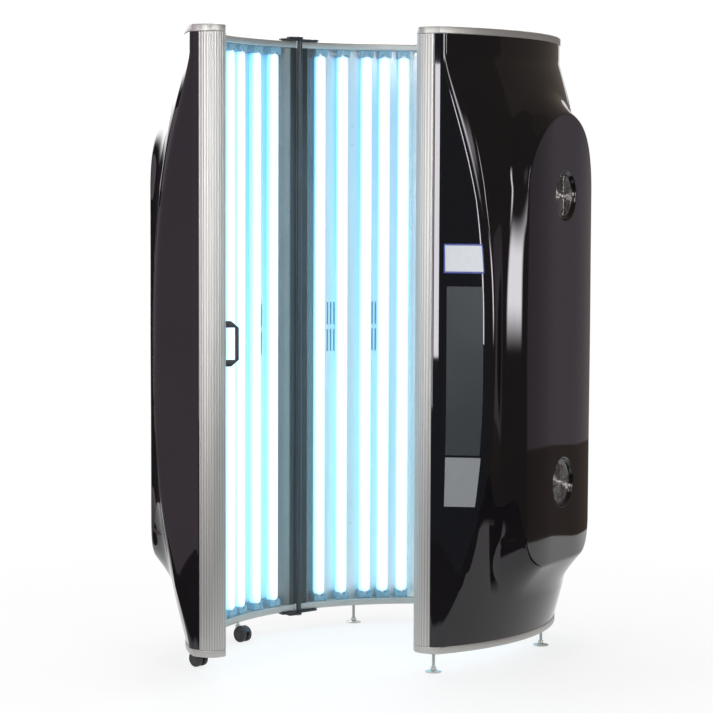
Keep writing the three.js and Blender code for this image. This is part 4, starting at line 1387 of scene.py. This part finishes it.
# Castors: yoke with a hood and a web, and turned profiles of (radius, height)
WHEEL_RADIUS = 0.025
WHEEL_WIDTH = 0.014
YOKE_HALF = 0.005
YOKE_PLAY = 0.0004
HOOD_RADIUS = WHEEL_RADIUS + 0.0016
HOOD_WALL = 0.0024
HOOD_ARC = (20, 215, 28)
HOOD_HALF = YOKE_HALF + WHEEL_WIDTH * 0.62
WEB_RADIUS = 0.010
WEB_ARC = (215, 365, 10)
WEB_TIP = (0.022 * math.cos(0.4), 0.022 * math.sin(0.4))
AXLE_RADIUS = 0.0042
AXLE_HALF = YOKE_HALF + 0.01
WHEEL_NEAR = YOKE_HALF + YOKE_PLAY
WHEEL_FAR = YOKE_HALF + WHEEL_WIDTH
WHEEL_PROFILE = (
    (0.004, WHEEL_NEAR), (WHEEL_RADIUS - 0.002, WHEEL_NEAR), (WHEEL_RADIUS, WHEEL_NEAR + 0.002),
    (WHEEL_RADIUS, WHEEL_FAR - 0.003), (WHEEL_RADIUS - 0.003, WHEEL_FAR), (0.019, WHEEL_FAR),
    (0.0175, WHEEL_FAR - 0.0015), (0.0165, WHEEL_FAR - 0.0015), (0.004, WHEEL_FAR - 0.0015),
    (0.004, WHEEL_NEAR),
)
HUBCAP_PROFILE = (
    (0.0035, WHEEL_FAR - 0.002), (0.0155, WHEEL_FAR - 0.002), (0.0155, WHEEL_FAR - 0.0008),
    (0.013, WHEEL_FAR + 0.0002), (0.006, WHEEL_FAR - 0.0002), (0, WHEEL_FAR - 0.0004), (0, WHEEL_FAR - 0.003),
    (0.0035, WHEEL_FAR - 0.003),
)
STEM_TOP = FRAME_BASE + STEM_ENTRY
STEM_PROFILE = (
    (0, 0.040), (0.0085, 0.040), (0.0095, 0.043), (0.0095, 0.0505), (0.0075, 0.0525), (0.0052, 0.053),
    (STEM_RADIUS, 0.054), (STEM_RADIUS, STEM_TOP), (0, STEM_TOP),
)


def build_castor(spot):
    """Twin-wheel castor: a hooded yoke on its stem, and two capped wheels."""
    stem = Vector(castor_stem(spot))
    axle = middle_of(f"{spot}_castor_wheels")
    trail = axle.xy - stem
    turn = Matrix.Rotation(math.atan2(trail.y, trail.x), 4, "Z")
    place = Matrix.Translation((axle.x, axle.y, WHEEL_RADIUS)) @ turn
    across = place @ Matrix.Rotation(math.radians(90), 4, "X")
    name = f"{spot}_castor"
    under = arc_points(HOOD_RADIUS - HOOD_WALL, *HOOD_ARC)
    outline = arc_points(HOOD_RADIUS, *HOOD_ARC) + under[::-1]
    yoke = Shape().prism(outline, -HOOD_HALF, HOOD_HALF, across)
    web = [*arc_points(WEB_RADIUS, *WEB_ARC), WEB_TIP, *under[2:]]
    yoke.prism(web, -YOKE_HALF + YOKE_PLAY, YOKE_HALF - YOKE_PLAY, across)
    piece(name + "_hood", yoke, "black", name, [name + "_yoke"], bevel=0.0006)
    stem_shape = Shape().lathe(STEM_PROFILE, 32, Matrix.Translation((*stem, 0)))
    piece(name + "_stem", stem_shape, "zinc", name, angle=30)
    wheels = Shape()
    caps = Shape()
    for side in (-1, 1):
        wheels.lathe([(r, side * h) for r, h in WHEEL_PROFILE], 48, across)
        caps.lathe([(r, side * h) for r, h in HUBCAP_PROFILE], 40, across)
    wheels.rod(AXLE_RADIUS, -AXLE_HALF, AXLE_HALF, 20, across)
    roller = f"{spot}_wheels"
    piece(name + "_tread", wheels, "tyre", roller, [name + "_wheels"], angle=30)
    piece(name + "_caps", caps, "black", roller, angle=30)


# Levelling feet: turned pad, lock nut and thread
PAD_RADIUS = 0.025
PAD_PROFILE = (
    (0, 0), (PAD_RADIUS - 0.001, 0), (PAD_RADIUS, 0.001), (PAD_RADIUS, 0.0032), (PAD_RADIUS - 0.0015, 0.0042),
    (0.014, 0.0052), (0.0105, 0.0066), (0.0095, 0.0072), (0, 0.0072),
)
NUT_RADIUS = 0.009
NUT_HEIGHTS = (0.0074, 0.0165)
STUD_BASE = 0.007
THREAD_PITCH = 0.0018
THREAD_DEPTH = 0.0008


def build_foot(name):
    """Levelling foot: domed pad, lock nut and a threaded stud."""
    place = Matrix.Translation((*middle_of(name).xy, 0))
    pad = Shape().lathe(PAD_PROFILE, 56, place)
    piece(name + "_pad", pad, "zinc", name, [name], angle=30)
    nut = Shape().prism(arc_points(NUT_RADIUS, 0, 300, 5), *NUT_HEIGHTS, place)
    piece(name + "_nut", nut, "zinc", name, bevel=0.0007)
    root = STEM_RADIUS - THREAD_DEPTH
    thread = [(0, STUD_BASE)]
    for i in range(int((STEM_TOP - STUD_BASE) / THREAD_PITCH)):
        z = STUD_BASE + i * THREAD_PITCH
        thread += [(root, z), (STEM_RADIUS, z + THREAD_PITCH / 2)]
    thread += [(root, STEM_TOP), (0, STEM_TOP)]
    piece(name + "_stud", Shape().lathe(thread, 24, place), "zinc", name, angle=20)


# Hinges, corner plates and seals, with heights measured away from the frame
SEAL_RADIUS = math.hypot(END_INSET, arc_depth(RAIL_RADIUS, END)) - GAP
EYE_RADIUS = 0.014
LEAF_THICKNESS = 0.006
LEAF_HALF = 0.015
LEAF_LENGTH = 0.070
LEAF_ROUND = 0.006
LEAF_ANGLE = 39
LEAF = (GAP, GAP + LEAF_THICKNESS)
UPPER_LEAF = (LEAF[1] + GAP, LEAF[1] + GAP + LEAF_THICKNESS)
UPPER_SHARE = 0.62
STRAP_STEP = 0.0002
PIN_RADIUS = 0.005
PIN_HEAD = 0.004
HEAD_BASE = UPPER_LEAF[1] + GAP
PIN_PROFILE = (
    (0, GAP), (PIN_RADIUS, GAP), (PIN_RADIUS, HEAD_BASE), (PIN_RADIUS + PIN_HEAD, HEAD_BASE),
    (PIN_RADIUS + PIN_HEAD, HEAD_BASE + 0.0018), (PIN_RADIUS + 0.002, HEAD_BASE + PIN_HEAD - 0.0004),
    (0, HEAD_BASE + PIN_HEAD),
)
SCREW_ROWS = (0.040, 0.058)
SCREW_SIDE = 0.007
LEAF_SCREW = ((0, 0), (0.0042, 0), (0.0042, 0.0008), (0.003, 0.0022), (0.0012, 0.0026), (0, 0.0018))
LEVELS = {"top": (BOOTH_HEIGHT, 1), "bottom": (FRAME_BASE, -1)}


def leaf_outline():
    """Strap with a round eye about the origin."""
    outline = []
    for x, y in arc_points(LEAF_ROUND, -90, 90, 10):
        side = LEAF_HALF - LEAF_ROUND if y > 0 else LEAF_ROUND - LEAF_HALF
        outline.append((LEAF_LENGTH - LEAF_ROUND + x, side + y))
    eye = [math.radians(lerp(90, 270, s)) for s in steps(16)]
    return outline + [(EYE_RADIUS * math.cos(t), LEAF_HALF * math.sin(t)) for t in eye]


def level_place(level, spot, turn):
    """Place on a frame's face at a corner, z pointing away from the frame."""
    height, up = LEVELS[level]
    flip = Matrix.Identity(4) if up > 0 else Matrix.Scale(-1, 4, (0, 0, 1))
    return Matrix.Translation((*spot, height)) @ Matrix.Rotation(math.radians(turn), 4, "Z") @ flip


def leaf_screws(name, leaves, rows, body):
    """Screws in rows across the ends of leaves."""
    spots = [Matrix.Translation((x, y, LEAF[1])) for x in rows for y in (-SCREW_SIDE, SCREW_SIDE)]
    places = [leaf @ spot for leaf in leaves for spot in spots]
    copies(name, Shape().lathe(LEAF_SCREW, 20), places, "zinc", body, angle=50)


def build_hinge(level):
    """Fixed leaf, door leaf that comes over it from its own seat, and the bolt through both."""
    name = f"{level}_hinge"
    fixed = level_place(level, HINGE, LEAF_ANGLE)
    moving = level_place(level, HINGE, -DOOR_ANGLE - LEAF_ANGLE)
    leaf = Shape().prism(leaf_outline(), *LEAF, fixed)
    piece(name + "_fixed_plate", leaf, "black", "fixed", [name + "_fixed_leaf"], bevel=0.001)
    seat = oblong(LEAF_HALF + 2 * GAP, LEAF_LENGTH, -LEAF_HALF, LEAF_HALF)
    leaf = Shape().prism(seat, LEAF[0], UPPER_LEAF[0], moving)
    leaf.prism([(x * UPPER_SHARE, y) for x, y in leaf_outline()], *UPPER_LEAF, moving)
    piece(name + "_door_plate", leaf, "black", "door", [name + "_door_leaf"], bevel=0.001)
    bolt = Shape().lathe(PIN_PROFILE, 32, level_place(level, HINGE, 0))
    piece(name + "_bolt", bolt, "zinc", "fixed", [name + "_pin"], angle=30)
    if level == "top":
        leaf_screws(name + "_fixed_screws", [fixed], SCREW_ROWS, "fixed")
        leaf_screws(name + "_door_screws", [moving], SCREW_ROWS[1:], "door")


def build_seal(name, spot):
    """Round seal down a corner that closes the gap between two sections."""
    place = Matrix.Translation((*spot, 0))
    shape = Shape().rod(SEAL_RADIUS, FRAME_BASE + GAP, BOOTH_HEIGHT - GAP, 24, place)
    piece(name, shape, "dark", "fixed", angle=50)


def build_corner(level):
    """Strap of two arms that holds the back and the side section together."""
    opening = 180 + SIDE_TURN + 2 * LEAF_ANGLE
    arms = [level_place(level, CORNER, 180 - LEAF_ANGLE + turn) for turn in (0, opening)]
    shape = Shape()
    for arm, step in zip(arms, (0, STRAP_STEP)):
        shape.prism(leaf_outline(), LEAF[0], LEAF[1] - step, arm)
    name = f"{level}_corner_plate"
    piece(name + "_strap", shape, "black", "fixed", [name], bevel=0.001)
    if level == "top":
        leaf_screws(name + "_screws", arms, SCREW_ROWS, "fixed")


build_handle()
for castor in CASTORS:
    build_castor(castor)
for foot in (*FEET["back"], *FEET["side"]):
    build_foot(foot)
build_seal("hinge_seal", HINGE)
build_seal("corner_seal", CORNER)
for plate_level in LEVELS:
    build_hinge(plate_level)
    build_corner(plate_level)

for booth_section in SECTIONS:
    rack = frame["nodes"][f"{booth_section.name}_ballast_rack"]
    rack.data.materials.clear()
    rack.data.materials.append(MATERIALS["steel"])


# Camera, as fitted to the view, with its place measured from the hinge
CAMERA_FROM_HINGE = Vector((0.030, -7.4255, 1.4536))
CAMERA_AIM = (0.0215, 0.9998)
CAMERA_PITCH = math.radians(4.19)
CAMERA_ROLL = math.radians(0.22)
CAMERA_LENS = 113.86
CAMERA_SENSOR = 36
CAMERA_END = 200


def build_camera():
    """Camera at the height and angle of the view that was fitted."""
    aim = Vector((*CAMERA_AIM, -math.tan(CAMERA_PITCH))).normalized()
    right = Vector((CAMERA_AIM[1], -CAMERA_AIM[0], 0)).normalized()
    up = right.cross(aim)
    tilt = Matrix.Rotation(CAMERA_ROLL, 3, "Z")
    axes = Matrix((right, up, -aim)).transposed() @ tilt
    data = bpy.data.cameras.new("camera")
    data.lens = CAMERA_LENS
    data.sensor_width = CAMERA_SENSOR
    data.clip_end = CAMERA_END
    camera = new_object("camera", data)
    camera.matrix_world = Matrix.Translation(CAMERA_FROM_HINGE + Vector((*HINGE, 0))) @ axes.to_4x4()
    bpy.context.scene.camera = camera


def seen_rays(tree):
    """1 for what the camera sees, also in mirrors and through glass; 0 for the light on things."""
    path = add_node(tree, "ShaderNodeLightPath").outputs
    seen = Field(tree, path["Is Camera Ray"])
    for kind in ("Is Glossy Ray", "Is Transmission Ray"):
        seen = seen.larger(path[kind])
    return seen


# Pale floor: how white it is near the booth, and where it turns all white
FLOOR_HALF = 30.0
FLOOR_WHITE = 0.78
WHITE_START = 0.9
WHITE_RUN = 1.2


def build_floor():
    """Pale floor that keeps the booth's shadow and turns white further out."""
    corners = [(x, y, 0) for x, y in oblong(-FLOOR_HALF, FLOOR_HALF, -FLOOR_HALF, FLOOR_HALF)]
    floor = new_object("floor", to_mesh("floor", Shape().add(corners, [[0, 1, 2, 3]])))
    paint = Paint("pale_floor", (0.92, 0.92, 0.92), 0.6)
    tree = paint.tree
    reach = paint.node("ShaderNodeVectorMath", {0: paint.spot()}, operation="LENGTH").outputs["Value"]
    far = ((Field(tree, reach) - WHITE_START) / WHITE_RUN).clamped()
    cover = (FLOOR_WHITE + (1 - FLOOR_WHITE) * far) * seen_rays(tree)
    white = paint.node("ShaderNodeEmission", {"Color": (1, 1, 1), "Strength": 1.0})
    mixed = paint.node("ShaderNodeMixShader", {0: cover, 1: paint.shader.outputs[0], 2: white.outputs[0]})
    feed(tree, paint.output.inputs["Surface"], mixed.outputs[0])
    floor.data.materials.append(paint.material)


# Cards seen only in reflections: arc about the booth, its radius, its heights and its glow
CARDS = {
    "back_left_flag": ((-236, -204), 3.0, (0.001, 5.0), (0.03, 0.026, 0.034)),
    "left_wall": ((-205, -137), 3.01, (0.001, 5.0), (0.62, 0.52, 0.60)),
    "front_left_flag": ((-138, -84), 3.0, (0.001, 5.0), (0.08, 0.11, 0.14)),
    "front_right_flag": ((-85, -2), 3.01, (0.001, 5.0), (0.13, 0.105, 0.095)),
    "right_base": ((-8, 70), 2.9, (0.001, 0.39), (0.13, 0.10, 0.085)),
    "right_wall": ((-8, 34), 2.9, (0.38, 1.96), (0.32, 0.275, 0.315)),
    "right_end": ((33, 70), 2.91, (0.38, 1.96), (0.30, 0.26, 0.27)),
    "right_flag": ((-8, 60), 2.89, (1.95, 5.0), (0.22, 0.18, 0.15)),
    "lip_light": ((-97.8, -95.5), 2.9, (0.78, 1.97), (17.0, 17.2, 17.8)),
}
# Cards that fade out towards their borders, by a share of their width and height
SOFT_CARDS = {
    "back_left_light": ((96, 152), 2.9, (1.85, 3.2), (4.0, 4.0, 4.0), 0.25),
    "shoulder_light": ((-86, -62), 2.9, (1.45, 2.95), (13.0, 13.0, 13.3), 0.5),
    "valley_light": ((-62, -45), 2.9, (0.80, 1.52), (17.0, 17.0, 17.3), 0.35),
    "valley_line": ((-48, -43), 2.88, (1.36, 2.35), (14.0, 14.0, 14.2), 0.3),
}
# Dark cards on the floor: arc about the booth, and reach from its middle
FLOOR_FLAGS = {
    "front_floor_flag": ((-190, -46), (1.15, 3.0)),
    "wedge_floor_flag": ((-47, -28), (1.75, 3.0)),
    "right_floor_flag": ((-31, -2), (0.92, 3.0)),
}
FLOOR_GLOW = (0.020, 0.018, 0.020)
FLOOR_FADE = 0.12
FLOOR_LIFT = 0.003
CEILING_HALF = 4
CEILING_HEIGHT = 5.0
CEILING_GLOW = (0.17, 0.145, 0.125)
CARD_STEPS = 48


def build_card(name, verts, faces, glow, shade=None):
    """Glowing card that only reflections show; shade gives how solid it is at a point."""
    card = new_object(name, to_mesh(name, Shape().add(verts, faces)))
    paint = Paint(name, (0.0, 0.0, 0.0), 1.0, emission_color=glow, emission_strength=1.0)
    if shade:
        give_mark(card.data, ("shade", shade))
        paint.set(alpha=paint.attribute("shade"))
    card.data.materials.append(paint.material)
    for kind in ("camera", "diffuse", "transmission", "volume_scatter", "shadow"):
        setattr(card, "visible_" + kind, False)


def grid_faces(rows):
    """Faces of a card's points, row by row."""
    wide = CARD_STEPS + 1
    spots = [row * wide + i for row in range(rows) for i in range(CARD_STEPS)]
    return [[i, i + 1, i + 1 + wide, i + wide] for i in spots]


def arc_card(name, arc, radius, heights, glow, fade=0.0):
    """Upright card on an arc about the booth."""
    line = arc_points(radius, *arc, CARD_STEPS)
    verts = [(*p, lerp(*heights, s)) for s in steps(CARD_STEPS) for p in line]

    def shade(point):
        turn = math.degrees(math.atan2(point.y, point.x))
        across = (turn - arc[0]) / (arc[1] - arc[0])
        up = (point.z - heights[0]) / (heights[1] - heights[0])
        near = [min(1.0, min(t, 1 - t) / fade) for t in (across, up)]
        return math.prod(t * t * (3 - 2 * t) for t in near)

    build_card(name, verts, grid_faces(CARD_STEPS), glow, shade if fade else None)


def floor_card(name, arc, reach):
    """Dark card on the floor, which fades in at its inner edge."""
    rings = (reach[0], reach[0] + FLOOR_FADE, reach[1])
    verts = [(*p, FLOOR_LIFT) for radius in rings for p in arc_points(radius, *arc, CARD_STEPS)]

    def shade(point):
        return min(1.0, (point.xy.length - reach[0]) / FLOOR_FADE)

    build_card(name, verts, grid_faces(2), FLOOR_GLOW, shade)


def build_cards():
    for name, card in {**CARDS, **SOFT_CARDS}.items():
        arc_card(name, *card)
    for name, card in FLOOR_FLAGS.items():
        floor_card(name, *card)
    outline = oblong(-CEILING_HALF, CEILING_HALF, -CEILING_HALF, CEILING_HALF)
    build_card("ceiling", [(*p, CEILING_HEIGHT) for p in outline], [[0, 1, 2, 3]], CEILING_GLOW)


# Softboxes: heading from the booth, distance, height, size, power, and whether reflections show it
SOFTBOXES = {
    "right_softbox": (-73, 2.8, 2.0, (1.0, 1.1), 20, False),
    "left_softbox": (-128, 2.7, 1.5, (0.7, 1.9), 26, True),
    "top_softbox": (80, 1.2, 4.2, (2.4, 2.4), 110, True),
}
SOFTBOX_AIM = Vector((0, -0.1, 1.1))


def build_softbox(name, direction, distance, height, size, power, reflected):
    data = bpy.data.lights.new(name, "AREA")
    data.shape = "RECTANGLE"
    data.size, data.size_y = size
    data.energy = power
    light = new_object(name, data)
    spot = Vector((*heading(direction) * distance, height))
    aim = SOFTBOX_AIM - spot
    light.matrix_world = Matrix.Translation(spot) @ aim.to_track_quat("-Z", "Y").to_matrix().to_4x4()
    light.visible_glossy = reflected


def build_world():
    """Soft light on things, and plain white where the camera sees past them."""
    world = bpy.data.worlds.new("studio")
    bpy.context.scene.world = world
    world.use_nodes = True
    tree = world.node_tree
    tree.nodes.clear()
    soft = add_node(tree, "ShaderNodeBackground", {"Color": (0.95, 0.97, 1.0), "Strength": 0.45})
    white = add_node(tree, "ShaderNodeBackground", {"Color": (1, 1, 1), "Strength": 1.0})
    shares = {0: seen_rays(tree), 1: soft.outputs[0], 2: white.outputs[0]}
    mixed = add_node(tree, "ShaderNodeMixShader", shares)
    add_node(tree, "ShaderNodeOutputWorld", {"Surface": mixed.outputs[0]})


build_camera()
build_floor()
build_cards()
for softbox, setting in SOFTBOXES.items():
    build_softbox(softbox, *setting)
build_world()
bpy.context.scene.view_settings.view_transform = "Standard"
